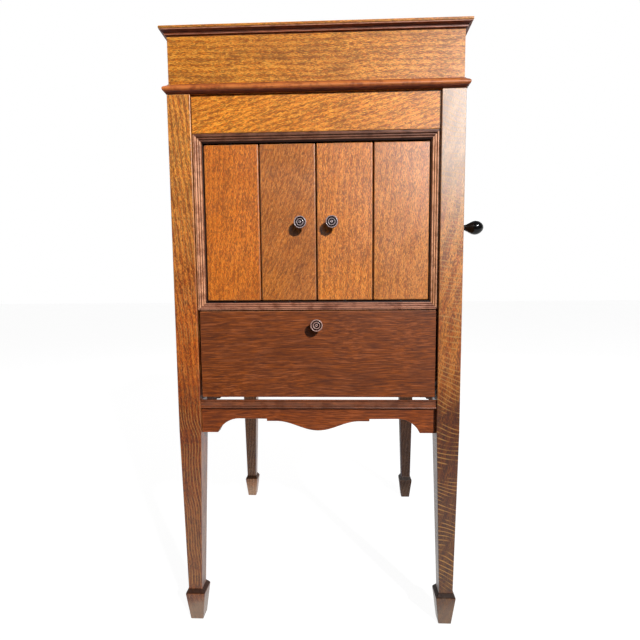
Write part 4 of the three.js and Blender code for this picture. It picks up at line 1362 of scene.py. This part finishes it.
@dataclass
class LouvreFrame:
    """The reeded moulding round the louvres, mitred at its corners.

    Attributes:
        width: width of the moulding.
        groove_top: height of the links' groove in the head, below its top.
        groove_depth: depth of the groove's front, in millimetres.
        depths: depth of the moulding's face and of its back, in millimetres.
        reeds: start, end, set-back and rise of each reed, in millimetres.
        lip: the inner edge of a level piece, as distance across and set-back in millimetres.
        quirk: the same for a jamb.
        shaded_inner_edge: width of the inner edge that is darkened as painted shade.
        mitre: gap at a mitre, on each side.
    """

    width: float = 14 * MM
    groove_top: float = 7.5 * MM
    groove_depth: float = 11.5
    depths: tuple[float, float] = (5.0, 27.0)
    reeds: tuple[tuple[float, ...], ...] = (
        (1.8, 5.2, 1.7, 1.5), (5.6, 8.6, 2.9, 1.2), (9.0, 11.8, 4.0, 1.1),
    )
    lip: tuple[tuple[float, float], ...] = ((12.4, 4.3), (13.6, 4.5), (14.0, 4.9))
    quirk: tuple[tuple[float, float], ...] = ((12.3, 4.4), (12.7, 5.8), (13.7, 6.0), (14.0, 6.1))
    shaded_inner_edge: float = 1.6 * MM
    mitre: float = 0.12 * MM

    def profile(self, grooved: bool, level: bool) -> Array:
        """The moulding's section: three reeds that step back towards the louvres.

        Args:
            grooved: the back of the section is cut away for the links.
            level: it is a level piece; a jamb has a quirk along its inner edge.

        Returns:
            Inset from the outer edge and depth of each corner.
        """
        front, rear = self.depths
        inner, groove = self.width / MM, self.groove_top / MM
        points = [(0.0, rear), (0.0, front + 1.8), (0.5, front + 1.2), (1.5, front + 1.2)]
        for start, end, foot, rise in self.reeds:
            turn = np.linspace(0, np.pi, 7)
            across = (start + end) / 2 - (end - start) / 2 * np.cos(turn)
            points += list(zip(across, front + foot - rise * np.sin(turn)))
        points += [(across, front + back) for across, back in (self.lip if level else self.quirk)]
        if grooved:
            points += [(inner, self.groove_depth), (groove, self.groove_depth), (groove, rear)]
        else:
            points += [(inner, rear)]
        return np.array(points) * MM

    def build(self) -> None:
        """Makes the head, the sill and the two jambs."""
        left, _ = span("louvre_frame_jamb_left")
        _, right = span("louvre_frame_jamb_right")
        _, top = span("louvre_frame_head")
        bottom, _ = span("louvre_frame_sill")
        face = span("frieze_rail")[0][1] - self.depths[0] * MM

        def corner(sx: int, sz: int, level: bool) -> Callable[[Array], Array]:
            """The mitre of one corner.

            Args:
                sx: -1 on the left, 1 on the right.
                sz: -1 at the foot, 1 at the top.
                level: it ends a level piece.

            Returns:
                A function that puts the section there.
            """
            x0 = right[0] if sx > 0 else left[0]
            z0 = top[2] if sz > 0 else bottom[2]
            shift = (-sx * self.mitre, 0) if level else (0, -sz * self.mitre)

            def place(profile: Array) -> Array:
                """Insets go from the corner along both axes, and depths back from the face."""
                inset, depth = profile[:, 0], profile[:, 1]
                x, z = x0 - sx * inset + shift[0], z0 - sz * inset + shift[1]
                return np.column_stack([x, face + depth, z])

            return place

        # The head is darkened as painted shade and the jambs lightened as painted light, the right one most,
        # as each faces the key lamp. The share of rubbed colour, small on the head and large on the jambs,
        # and the jambs' paler rubbed colour paint highlights on the reeds as well as wear.
        dull, foot = (0.66, 0.62, 0.6), (1.1, 1.0, 1.05)
        lit, right_jamb_lit = (1.95, 2.1, 2.0), (2.4, 2.9, 2.0)
        for name, ends, level, tint, rubbed in (
            ("head", ((-1, 1), (1, 1)), True, dull, 0.35),
            ("sill", ((-1, -1), (1, -1)), True, foot, 0.9),
            ("jamb_left", ((-1, -1), (-1, 1)), False, lit, 1.2),
            ("jamb_right", ((1, -1), (1, 1)), False, right_jamb_lit, 1.1),
        ):
            way = Way.X if level else Way.Z
            profile = self.profile(name == "head", level)
            worn = outward(profile)
            worn = np.clip(np.where(worn > 0, rubbed * worn, worn), -1, 1)
            # The inner edge by the louvres is darkened as painted shade.
            worn[profile[:, 0] > self.width - self.shaded_inner_edge] = -1.0
            skin = strip(profile, [corner(*end, level) for end in ends], worn)
            finish = UMBER if level else replace(UMBER, rubbed=linear(250, 182, 138))
            material = finish.material(way, 41 + len(name), (0.2, 0.15), tint)
            node = f"louvre_frame_{name}"
            piece(f"{node}_reeds", [skin], material, "cabinet", [node], crease=MITRE_CREASE)


# ---------------------------------------------------------------- lid


@dataclass
class Lid:
    """The lid: four boards, a moulded top and a bead round its lower edge.

    Attributes:
        sheet: thickness of the top board.
        inside: set-back of the board under it.
        bead_line: overhang and height of each corner of the bead, in millimetres.
        crest_light_under_shade: height on the bead in millimetres, and its painted light there: highlight
            over 0, shade under 0.
    """

    sheet: float = 4.2 * MM
    inside: float = 12 * MM
    bead_line: tuple[tuple[float, float], ...] = (
        (0.0, 0.0), (2.4, 0.0), (3.2, 0.8), (4.6, 2.0), (6.4, 3.4), (7.6, 4.8), (8.2, 6.6), (7.9, 8.4),
        (6.9, 9.9), (5.2, 11.4), (3.2, 12.8), (1.7, 14.0), (1.0, 15.2), (0.0, 15.6),
    )
    crest_light_under_shade: tuple[tuple[float, float], ...] = (
        (0.0, -0.8), (2.0, -0.5), (4.0, 0.5), (6.4, 1.0), (12.0, 0.7), (14.0, 0.2), (15.6, -0.3),
    )

    def build(self) -> None:
        """Makes the lid's pieces."""
        for end, tree in (("front", (-0.1, 1.2)), ("back", (0.4, 1.1))):
            node = f"lid_{end}"
            material = GOLDEN.material(Way.X, 51 + len(end), tree, (0.96, 0.91, 0.8))
            piece(f"{node}_board", [board(Way.X, *span(node), 0.9 * MM)], material, "lid", [node])
        for side, sign in SIDES:
            node = f"lid_side_{side}"
            material = GOLDEN.material(Way.Y, 57 + sign, (1.2, sign * 0.4))
            skin = board(Way.Y, *span(node), 0.6 * MM)
            piece(f"lid_side_board_{side}", [skin], material, "lid", [node])
        self.top()
        self.bead()

    def mitred(
        self,
        kind: str,
        profile: Array,
        worn: Array,
        dress: Callable[[Way, str], Material],
        replaces: Sequence[str] = (),
    ) -> None:
        """A moulding on the front and both sides of the lid.

        Args:
            kind: the moulding's name.
            profile: overhang and height of each corner of the section.
            worn: how lit each corner of the section is, as painted highlight and wear, over 0, or how dark
                as painted shade, under 0.
            dress: gives the material of a strip from its way and its name.
            replaces: the nodes that its front strip stands for.
        """
        low, high = span("lid_front")
        reach, depth = (low[0], high[0]), (low[1], span("lid_back")[1][1])

        def place(side: int, front: bool) -> Callable[[Array], Array]:
            """The mitre at the front of one side, or its square end at the back.

            Args:
                side: 0 on the left, 1 on the right.
                front: it is the mitre.

            Returns:
                A function that puts the section there.
            """

            def put(corners: Array) -> Array:
                """Overhangs go outwards from the side and, on a mitre, from the front."""
                x = reach[side] + (1 if side else -1) * corners[:, 0]
                y = depth[0] - corners[:, 0] if front else np.full(len(corners), depth[1])
                return np.column_stack([x, y, corners[:, 1]])

            return put

        for name, way, ends in (
            ("front", Way.X, (place(0, True), place(1, True))),
            ("left", Way.Y, (place(0, False), place(0, True))),
            ("right", Way.Y, (place(1, True), place(1, False))),
        ):
            piece(
                f"lid_{kind}_{name}", [strip(profile, ends, worn)], dress(way, name), "lid",
                replaces if name == "front" else (), crease=MITRE_CREASE, slot=SLOTS["lid_bead"],
            )

    def top(self) -> None:
        """The top board, the board under it and the cove moulding on three sides."""
        low, high = span("lid_top")
        face_low, face_high = span("lid_front")
        back = span("lid_back")[1][1]
        sheet = high[2] - self.sheet
        material = GOLDEN.material(Way.X, 61, (0.2, 1.4), (0.86, 0.8, 0.74))
        edge = np.array([low[0], low[1], sheet]), np.array([high[0], back, high[2]])
        piece("lid_top_board", [board(Way.X, *edge, 1.2 * MM)], material, "lid", ["lid_top"])
        corner = np.array([face_low[0] + self.inside, face_low[1] + self.inside, low[2]])
        opposite = np.array([face_high[0] - self.inside, back, sheet - 0.05 * MM])
        under = board(Way.X, corner, opposite, 0.4 * MM)
        piece("lid_under_board", [under], PLAIN.material(Way.X, 62), "lid", slot="plain_wood")
        top, inner = (sheet - low[2]) / MM, 0.1 - self.inside / MM
        quarter = np.radians(np.linspace(0, 90, 9))
        hollow = [(3.4 + 4.6 * (1 - math.cos(a)), 3.7 + 2.7 * math.sin(a)) for a in quarter]
        points = [(inner, 0.0), (0.2, 0.0), (0.4, 0.8), (2.7, 1.3), (3.1, 1.6), (3.1, 3.3)]
        points += hollow + [(8.4, 6.5), (8.6, 6.8), (8.6, top - 0.2), (8.4, top), (inner, top)]
        profile = np.array(points) * MM + np.array([0.0, low[2]])

        def dress(way: Way, name: str) -> Material:
            """Dark oak, from another tree on each strip."""
            return UMBER.material(way, 63 + len(name), (0.3, 0.2), (1.9, 1.5, 1.15))

        # The cove's hollows are darkened as painted shade.
        self.mitred("cove", profile, outward(profile), dress)

    def bead(self) -> None:
        """The half-round bead round the lid's lower edge."""
        line = chaikin(self.bead_line, 1)
        profile = line * MM + np.array([0.0, span("lid_bead")[0][2]])
        # The bead's upper curve is lightened as a painted highlight, and its underside and top joint are
        # darkened as painted shade.
        worn = np.interp(line[:, 1], *zip(*self.crest_light_under_shade))
        highlit_umber = replace(UMBER, rubbed=linear(222, 130, 62))

        def dress(way: Way, name: str) -> Material:
            """Dark oak whose gold rubbed colour paints the bead's highlight, from another tree on each
            strip.
            """
            return highlit_umber.material(way, 71 + len(name), (0.2, 0.3), (1.9, 1.3, 0.85))

        self.mitred("bead", profile, worn, dress, ["lid_bead"])


# ---------------------------------------------------------------- louvres, flap and knobs


@dataclass
class Knob:
    """A turned knob: a foot, a waist, a rim, a sunk ring and a boss in the middle.

    Attributes:
        profile: radius and height above the seat of each corner, in millimetres.
    """

    profile: tuple[tuple[float, float], ...] = (
        (0.0, 0.0), (6.6, 0.0), (6.6, 1.3), (5.2, 2.2), (4.7, 4.5), (4.7, 7.6), (6.2, 9.4), (8.8, 11.2),
        (10.2, 13.0), (10.2, 15.6), (9.9, 17.2), (9.0, 18.0), (8.1, 17.4), (7.7, 15.4), (7.0, 14.4),
        (6.3, 15.0), (6.0, 17.0), (5.2, 17.8), (4.4, 17.2), (4.1, 15.4), (3.4, 14.8), (2.8, 15.6),
        (2.6, 18.0), (1.8, 19.6), (0.9, 19.4), (0.5, 18.2), (0.0, 18.0),
    )

    def skin(self, seat: Array) -> Skin:
        """The knob standing forward of its seat, its crests lightened as wear and painted highlight
        and its grooves darkened as painted shade.

        Args:
            seat: the middle of its foot.

        Returns:
            Its skin.
        """
        line = chaikin(self.profile, 2) * MM
        # Crests are lightened as wear and painted highlight and grooves darkened as painted shade; the foot
        # and waist are left plain.
        worn = outward(line) * 2.4
        worn[line[:, 1] < 12 * MM] = 0.0
        line[:, 1] *= -1
        return lathe(line, Way.Y, seat, 56, worn=np.clip(worn, -1, 1))

    def build(self, node: str, name: str, lacquer: Material, body: str) -> None:
        """Makes the knob in place of a node.

        Args:
            node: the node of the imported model.
            name: the piece's name.
            lacquer: its material.
            body: the body that it rides on.
        """
        low, high = span(node)
        seat = np.array([(low[0] + high[0]) / 2, high[1], (low[2] + high[2]) / 2])
        piece(name, [self.skin(seat)], lacquer, body, [node])


@dataclass
class Louvres:
    """Four boards that turn on end pins, linked in pairs.

    Attributes:
        knob: the knob of each inner board.
        arris: radius of the boards' edges.
        half: half a board's thickness.
        below: length of the lower pin and its play, which the board's foot stands over.
        above: the same for the upper pin and the crank arm.
        drive: where the link's pin stands from the board's axis, outwards and back.
        pin: radius of the end pins and how far they are let into the board.
        lower: length of the lower end pin under the board.
        upper: length of the upper end pin over the board.
        washer: radius, underside and top over the board of the washer.
        arm: half width, underside and top of the crank arm.
        stud: radius, underside and top of the link's pin.
    """

    knob: Knob = field(default_factory=Knob)
    arris: float = 1.9 * MM
    half: float = 4.75 * MM
    below: float = 10.6 * MM
    above: float = 12.4 * MM
    drive: tuple[float, float] = (8.2 * MM, 9.7 * MM)
    pin: tuple[float, float] = (2.5 * MM, 1 * MM)
    lower: float = 10 * MM
    upper: float = 12 * MM
    washer: tuple[float, float, float] = (5.5 * MM, 0.1 * MM, 1.2 * MM)
    arm: tuple[float, float, float] = (3.2 * MM, 2 * MM, 3.6 * MM)
    stud: tuple[float, float, float] = (1.2 * MM, 2 * MM, 6.8 * MM)

    def board_box(self, node: str, axis: Array) -> tuple[Array, Array]:
        """The box of a leaf's board, without its pins and crank arm.

        Args:
            node: the leaf's node.
            axis: a point on its axis.

        Returns:
            Its lowest and its highest corner.
        """
        low, high = span(node)
        foot = np.array([low[0], axis[1] - self.half, low[2] + self.below])
        return foot, np.array([high[0], axis[1] + self.half, high[2] - self.above])

    def metalwork(self, axis: Array, sign: int, low: Array, high: Array) -> list[Skin]:
        """A leaf's end pins, the washer, the crank arm and its drive pin.

        Args:
            axis: a point on the leaf's axis.
            sign: -1 for a leaf on the left, 1 on the right.
            low: lowest corner of its board.
            high: highest corner of its board.

        Returns:
            Their skins.
        """
        foot, top, beyond = low[2], high[2], 3 * MM
        ground = np.array([axis[0], axis[1], 0.0])
        run = np.array([sign * self.drive[0], self.drive[1], 0.0])
        half, under, over = self.arm
        start = np.array([axis[0] - beyond, axis[1] - half, top + under])
        end = np.array([axis[0] + np.linalg.norm(run) + beyond, axis[1] + half, top + over])
        arm = swung(board(Way.X, start, end, 0.5 * MM), ground, math.atan2(run[1], run[0]))
        radius, let_in = self.pin
        return [
            upright(ground, radius, foot - self.lower, foot + let_in, 20),
            upright(ground, radius, top - let_in, top + self.upper, 20),
            upright(ground, self.washer[0], top + self.washer[1], top + self.washer[2], 28),
            arm,
            upright(ground + run, self.stud[0], top + self.stud[1], top + self.stud[2], 16),
        ]

    def build(self) -> None:
        """Makes the boards, their pins, the links and the two knobs."""
        woods = {
            "outer_left": ((0.98, 0.84, 0.5), 0.06),
            "inner_left": ((0.76, 0.74, 0.9), 0.34),
            "inner_right": ((0.98, 0.96, 0.96), 0.03),
            "outer_right": ((0.9, 0.92, 1.0), 0.05),
        }
        metal, dark_metal = BRASS.material(), IRON.material()
        for number, (name, (tint, slant)) in enumerate(woods.items()):
            node = f"louvre_{name}"
            sign = -1 if name.endswith("left") else 1
            axis = pivot(f"{name}_turn")[0]
            low, high = self.board_box(node, axis)
            tree = (axis[0] + 0.3 - 0.13 * number, axis[1] + 0.05)
            material = AMBER.material(Way.Z, 81 + number, tree, tint, slant=(slant, 0.0, 0.0))
            piece(f"{node}_board", [board(Way.Z, low, high, self.arris, 4)], material, name, [node])
            pins = self.metalwork(axis, sign, low, high)
            piece(f"{node}_pins", pins, dark_metal, name, slot="iron")
        lacquer = KNOB_LACQUER.material()
        for side, _ in SIDES:
            self.knob.build(f"louvre_knob_{side}", f"knob_{side}", lacquer, f"inner_{side}")
            finished(f"louvre_link_{side}", metal, 0.3 * MM)


@dataclass
class Flap:
    """The drop-front board of the record compartment, with its knob and end pins.

    Attributes:
        knob: its knob.
    """

    knob: Knob = field(default_factory=Knob)

    def build(self) -> None:
        """Makes the board and the knob, and dresses the pins."""
        low, high = span("record_flap")
        material = RUSSET.material(Way.X, 91, (low[1] + 0.2, 0.9))
        piece("flap_board", [board(Way.X, low, high, 1.4 * MM)], material, "flap", ["record_flap"])
        self.knob.build("flap_knob", "knob_flap", FLAP_LACQUER.material(), "flap")
        for side, _ in SIDES:
            finished(f"flap_pin_{side}", STEEL.material())


# ---------------------------------------------------------------- sides, back, shelves and fittings


@dataclass
class Carcass:
    """The side panels, the back and the shelves.

    Attributes:
        screw: the screws that hold the back panel.
        margin: distance of the screws from the panel's edges.
    """

    screw: Screw = Screw(3.0 * MM, 0.5 * MM, 0.2 * MM, 0.9 * MM, 0.5 * MM)
    margin: float = 12 * MM

    def build(self) -> None:
        """Makes the panels and shelves and screws the back on."""
        for side, sign in SIDES:
            material = GOLDEN.material(Way.Z, 101 + sign, (sign * 0.35, 0.02), (0.92, 0.88, 0.84))
            finished(f"side_panel_{side}", material, 0.8 * MM)
        finished("back_panel", TAWNY.material(Way.Z, 104, (0.5, 0.03), (0.86, 0.84, 0.84)), 0.8 * MM)
        finished("motor_board", UMBER.material(Way.X, 105, (0.1, 0.5), (1.3, 1.2, 1.1)), 0.5 * MM)
        for number, node in enumerate(("compartment_top", "compartment_floor")):
            finished(node, PLAIN.material(Way.X, 106 + number, (0.2, 0.3)), 0.6 * MM)
        low, high = span("back_panel")
        across = np.linspace(low[0] + self.margin, high[0] - self.margin, 4)
        up = np.linspace(low[2] + self.margin, high[2] - self.margin, 5)
        places = [(x, z) for x in across for z in (up[0], up[-1])]
        places += [(x, z) for x in (across[0], across[-1]) for z in up[1:-1]]
        heads = [
            self.screw.skin(Way.Y, (x, high[1], z), 0.7 * number)
            for number, (x, z) in enumerate(places)
        ]
        piece("back_screws", heads, STEEL.material(), "cabinet", slot="steel")


@dataclass
class Fittings:
    """The lid's hinge and stay.

    Attributes:
        screw: the screws of the hinge.
        leaf: thickness of a hinge leaf.
        margin: distance of the end screws from a leaf's ends.
        drop: distance of the screws from the hinge's axis.
    """

    screw: Screw = Screw(2.6 * MM, 0.4 * MM, 0.1 * MM, 0.8 * MM, 0.35 * MM)
    leaf: float = 1.0 * MM
    margin: float = 16 * MM
    drop: float = 13 * MM

    def build(self) -> None:
        """Makes both hinge leaves with their screws, the stay and its guide."""
        brass = BRASS.material()
        plate = span("back_panel")[1][1] + self.leaf
        knuckle = pivot("lid_hinge")[0][2]
        for part, body, sign in (("case", "cabinet", -1), ("lid", "lid", 1)):
            node = f"{part}_hinge_leaf"
            finished(node, brass, 0.15 * MM)
            low, high = span(node)
            height = knuckle + sign * self.drop
            places = np.linspace(low[0] + self.margin, high[0] - self.margin, 7)
            heads = [
                self.screw.skin(Way.Y, (x, plate, height), 1.1 * number)
                for number, x in enumerate(places)
            ]
            piece(f"{node}_screws", heads, brass, body, slot="brass")
        finished("lid_stay", brass, 0.3 * MM)
        finished("lid_stay_guide", brass, 0.4 * MM)


# ---------------------------------------------------------------- deck, motor and crank


@dataclass
class Deck:
    """What stands on the motor board: turntable, levers and needle tray.

    Attributes:
        arris: bevel of the small nickelled pieces.
    """

    arris: float = 0.3 * MM

    def build(self) -> None:
        """Makes the deck's pieces."""
        nickel, steel = NICKEL.material(), STEEL.material()
        finished("turntable", nickel, 0.5 * MM)
        finished("turntable_felt", WOOL.material(), 0.3 * MM)
        finished("turntable_spindle", steel, 0.2 * MM)
        for node in ("needle_tray", "brake_lever", "speed_lever"):
            finished(node, nickel, self.arris)


@dataclass
class Tonearm:
    """The tonearm, its base, and the soundbox with its needle.

    Attributes:
        screw: the screws of the base.
        flange: thickness of the base's flange.
        reach: distance of the screws from the tonearm's axis.
    """

    screw: Screw = Screw()
    flange: float = 5 * MM
    reach: float = 26 * MM

    def build(self) -> None:
        """Makes the tonearm's pieces."""
        nickel = NICKEL.material()
        finished("tonearm_base", nickel, 0.4 * MM)
        finished("tonearm", nickel, 0.3 * MM, TURNED_CREASE)
        finished("soundbox", nickel, 0.4 * MM)
        finished("needle_bar", STEEL.material(), 0.15 * MM)
        centre = pivot("tonearm_swing")[0]
        centre[2] = span("tonearm_base")[0][2] + self.flange
        heads = self.screw.three(Way.Z, centre, self.reach)
        piece("tonearm_base_screws", heads, STEEL.material(), "cabinet", slot="steel")


@dataclass
class Motor:
    """The spring motor under the deck, and the horn in front of it.

    Attributes:
        arris: bevel of the turned pieces.
    """

    arris: float = 0.2 * MM

    def build(self) -> None:
        """Makes the motor's pieces and the horn."""
        steel, brass = STEEL.material(), BRASS.material()
        finished("motor_frame", IRON.material(), 0.5 * MM)
        finished("spring_barrel", steel, self.arris)
        finished("winding_wheel", brass, self.arris)
        finished("governor", brass, 0.15 * MM, TURNED_CREASE)
        finished("winding_shaft", steel, self.arris)
        wood = PLAIN.material(Way.Y, 121, (0.3, 0.5), (0.8, 0.7, 0.6))
        finished("horn", wood, crease=ROUND_CREASE)


@dataclass
class Crank:
    """The winding crank outside the right-hand panel.

    Attributes:
        grip: radius and distance from its inner end of each corner of the grip, in millimetres.
        screw: the screws of the escutcheon.
        reach: distance of the screws from the crank's axis.
    """

    grip: tuple[tuple[float, float], ...] = (
        (0.0, 0.3), (3.6, 0.3), (6.4, 0.3), (7.2, 0.9), (6.2, 1.8), (5.7, 4.4), (5.6, 7.4), (5.9, 10.2),
        (8.0, 15.2), (11.6, 21.4), (14.2, 27.0), (15.0, 31.8), (14.5, 36.8), (12.2, 42.0), (8.6, 46.2),
        (4.4, 48.8), (0.0, 49.4),
    )
    screw: Screw = Screw(2.8 * MM, 0.6 * MM, 0.1 * MM, 0.8 * MM, 0.5 * MM)
    reach: float = 18 * MM

    def build(self) -> None:
        """Makes the rod, the grip and the escutcheon with its screws."""
        nickel, brass = NICKEL.material(), BRASS.material()
        finished("crank_rod", nickel, 0.3 * MM, ROUND_CREASE)
        finished("crank_escutcheon", brass, 0.8 * MM)
        low, high = span("crank_grip")
        centre = np.array([low[0], (low[1] + high[1]) / 2, (low[2] + high[2]) / 2])
        grip = lathe(chaikin(self.grip, 2) * MM, Way.X, centre)
        black = BLACK_LACQUER.material()
        piece("grip_turned", [grip], black, "grip", ["crank_grip"], flat=False)
        middle = pivot("crank_turn")[0]
        middle[0] = span("crank_escutcheon")[1][0]
        heads = self.screw.three(Way.X, middle, self.reach)
        piece("escutcheon_screws", heads, brass, "cabinet", slot="brass")


# ---------------------------------------------------------------- the stage


@dataclass(frozen=True)
class Studio:
    """The camera, the lamps, the floor and the white surroundings.

    Attributes:
        eye: where the camera stands.
        yaw: its turn to the left, in degrees.
        pitch: its tilt up, in degrees.
        roll: its roll, in degrees.
        focal: focal length in pixels of the photograph.
        centre: the lens axis in the photograph, in pixels.
        width: width of the photograph in pixels.
        glow: how white the floor shows.
        dimmed: strength of the world's light on the object.
        reach: half the floor's width.
    """

    eye: tuple[float, float, float] = (-0.0081, -0.9379, 0.5737)
    yaw: float = 2.063
    pitch: float = -5.095
    roll: float = -0.384
    focal: float = 425.0
    centre: tuple[float, float] = (327.2, 332.0)
    width: int = 640
    glow: float = 0.93
    dimmed: float = 0.06
    reach: float = 30.0

    def camera(self) -> None:
        """Sets the camera at the photograph's viewing angle."""
        yaw, pitch, roll = (math.radians(a) for a in (self.yaw, self.pitch, self.roll))
        level = Vector((-math.sin(yaw), math.cos(yaw), 0.0))
        ahead = math.cos(pitch) * level + Vector((0.0, 0.0, math.sin(pitch)))
        side = Vector((math.cos(yaw), math.sin(yaw), 0.0))
        above = side.cross(ahead)
        right = math.cos(roll) * side + math.sin(roll) * above
        up = math.cos(roll) * above - math.sin(roll) * side
        data = bpy.data.cameras.new("camera")
        data.sensor_width = 36.0
        data.lens = self.focal / self.width * data.sensor_width
        data.shift_x = (self.width / 2 - self.centre[0]) / self.width
        data.shift_y = (self.centre[1] - self.width / 2) / self.width
        data.clip_start = 0.01
        camera = bpy.data.objects.new("camera", data)
        rotation = Matrix((right, up, -ahead)).transposed().to_4x4()
        camera.matrix_world = Matrix.Translation(self.eye) @ rotation
        bpy.context.scene.collection.objects.link(camera)
        bpy.context.scene.camera = camera

    @staticmethod
    def lamp(
        name: str,
        place: Sequence[float],
        aim: Sequence[float],
        size: float,
        watts: float,
        gloss: bool = False,
    ) -> None:
        """A square area lamp.

        Args:
            name: the lamp's name.
            place: where it stands.
            aim: the point that it faces.
            size: length of its side.
            watts: its power.
            gloss: it shows only in the varnish.
        """
        data = bpy.data.lights.new(name, "AREA")
        data.size = size
        data.energy = watts
        lamp = bpy.data.objects.new(name, data)
        lamp.location = place
        lamp.rotation_euler = (Vector(aim) - Vector(place)).to_track_quat("-Z", "Y").to_euler()
        lamp.visible_diffuse = not gloss
        bpy.context.scene.collection.objects.link(lamp)

    def lights(self) -> None:
        """A key light from the upper right, as the knobs' shadows show, and soft fills."""
        aim = (-0.05, -0.2, 0.6)
        self.lamp("key", (3.0, -5.06, 3.7), aim, 0.4, 505.0)
        self.lamp("sheen", (1.1, -3.2, 1.95), aim, 1.1, 46.0, True)
        self.lamp("fill_left", (-2.8, -0.6, 1.8), aim, 2.0, 16.0)
        self.lamp("fill_back", (0.6, 2.6, 1.8), aim, 2.0, 36.0)

    def surroundings(self) -> None:
        """A white world and a pale floor that keeps the object's shadow."""
        white = (1.0, 1.0, 1.0, 1.0)
        graph = Graph("world", world=True)
        paths = graph.add("ShaderNodeLightPath", {}).outputs
        place = graph.add("ShaderNodeTexCoord", {}).outputs["Generated"]
        back = graph.add("ShaderNodeSeparateXYZ", {0: place}).outputs["Y"]
        behind = graph.add("ShaderNodeMapRange", {"Value": back, "From Max": 0.4}).outputs[0]
        glossy = graph.product(behind, paths["Is Glossy Ray"])
        share = graph.math("MAXIMUM", glossy, paths["Is Camera Ray"])
        strength = graph.add("ShaderNodeMapRange", {"Value": share, "To Min": self.dimmed})
        bpy.context.scene.world = graph.surface({"Color": white, "Strength": strength.outputs[0]})

        graph = Graph("floor")
        paths = graph.add("ShaderNodeLightPath", {}).outputs
        depth = graph.add("ShaderNodeSeparateXYZ", {0: graph.places()}).outputs["Y"]
        near = graph.product(paths["Is Glossy Ray"], graph.range(depth, -1.3, -0.6))
        glow = graph.product(graph.math("MAXIMUM", paths["Is Camera Ray"], near), self.glow)
        pale, dim = (0.16, 0.16, 0.16), (0.05, 0.05, 0.05)
        material = graph.surface(
            {
                "Base Color": graph.mix(paths["Is Camera Ray"], dim, pale),
                "Roughness": 0.9,
                "Specular IOR Level": 0.1,
                "Emission Color": white,
                "Emission Strength": glow,
            }
        )
        mesh = bpy.data.meshes.new("floor")
        corners = [(x * self.reach, y * self.reach, 0) for x, y in ((-1, -1), (1, -1), (1, 1), (-1, 1))]
        mesh.from_pydata(corners, [], [(0, 1, 2, 3)])
        floor = in_scene("floor", mesh, material)

    def build(self) -> None:
        """Sets up the whole stage."""
        bpy.context.scene.view_settings.view_transform = "Standard"
        self.camera()
        self.lights()
        self.surroundings()


def main() -> None:
    """Builds every sub-assembly round the frame."""
    logging.basicConfig(level=logging.INFO, format="%(name)s: %(message)s")
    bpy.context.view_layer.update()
    Studio().build()
    builders = (
        Legs(), Rails(), LouvreFrame(), Lid(), Louvres(), Flap(),
        Carcass(), Fittings(), Deck(), Tonearm(), Motor(), Crank(),
    )
    for builder in builders:
        builder.build()


if __name__ == "__main__":
    main()
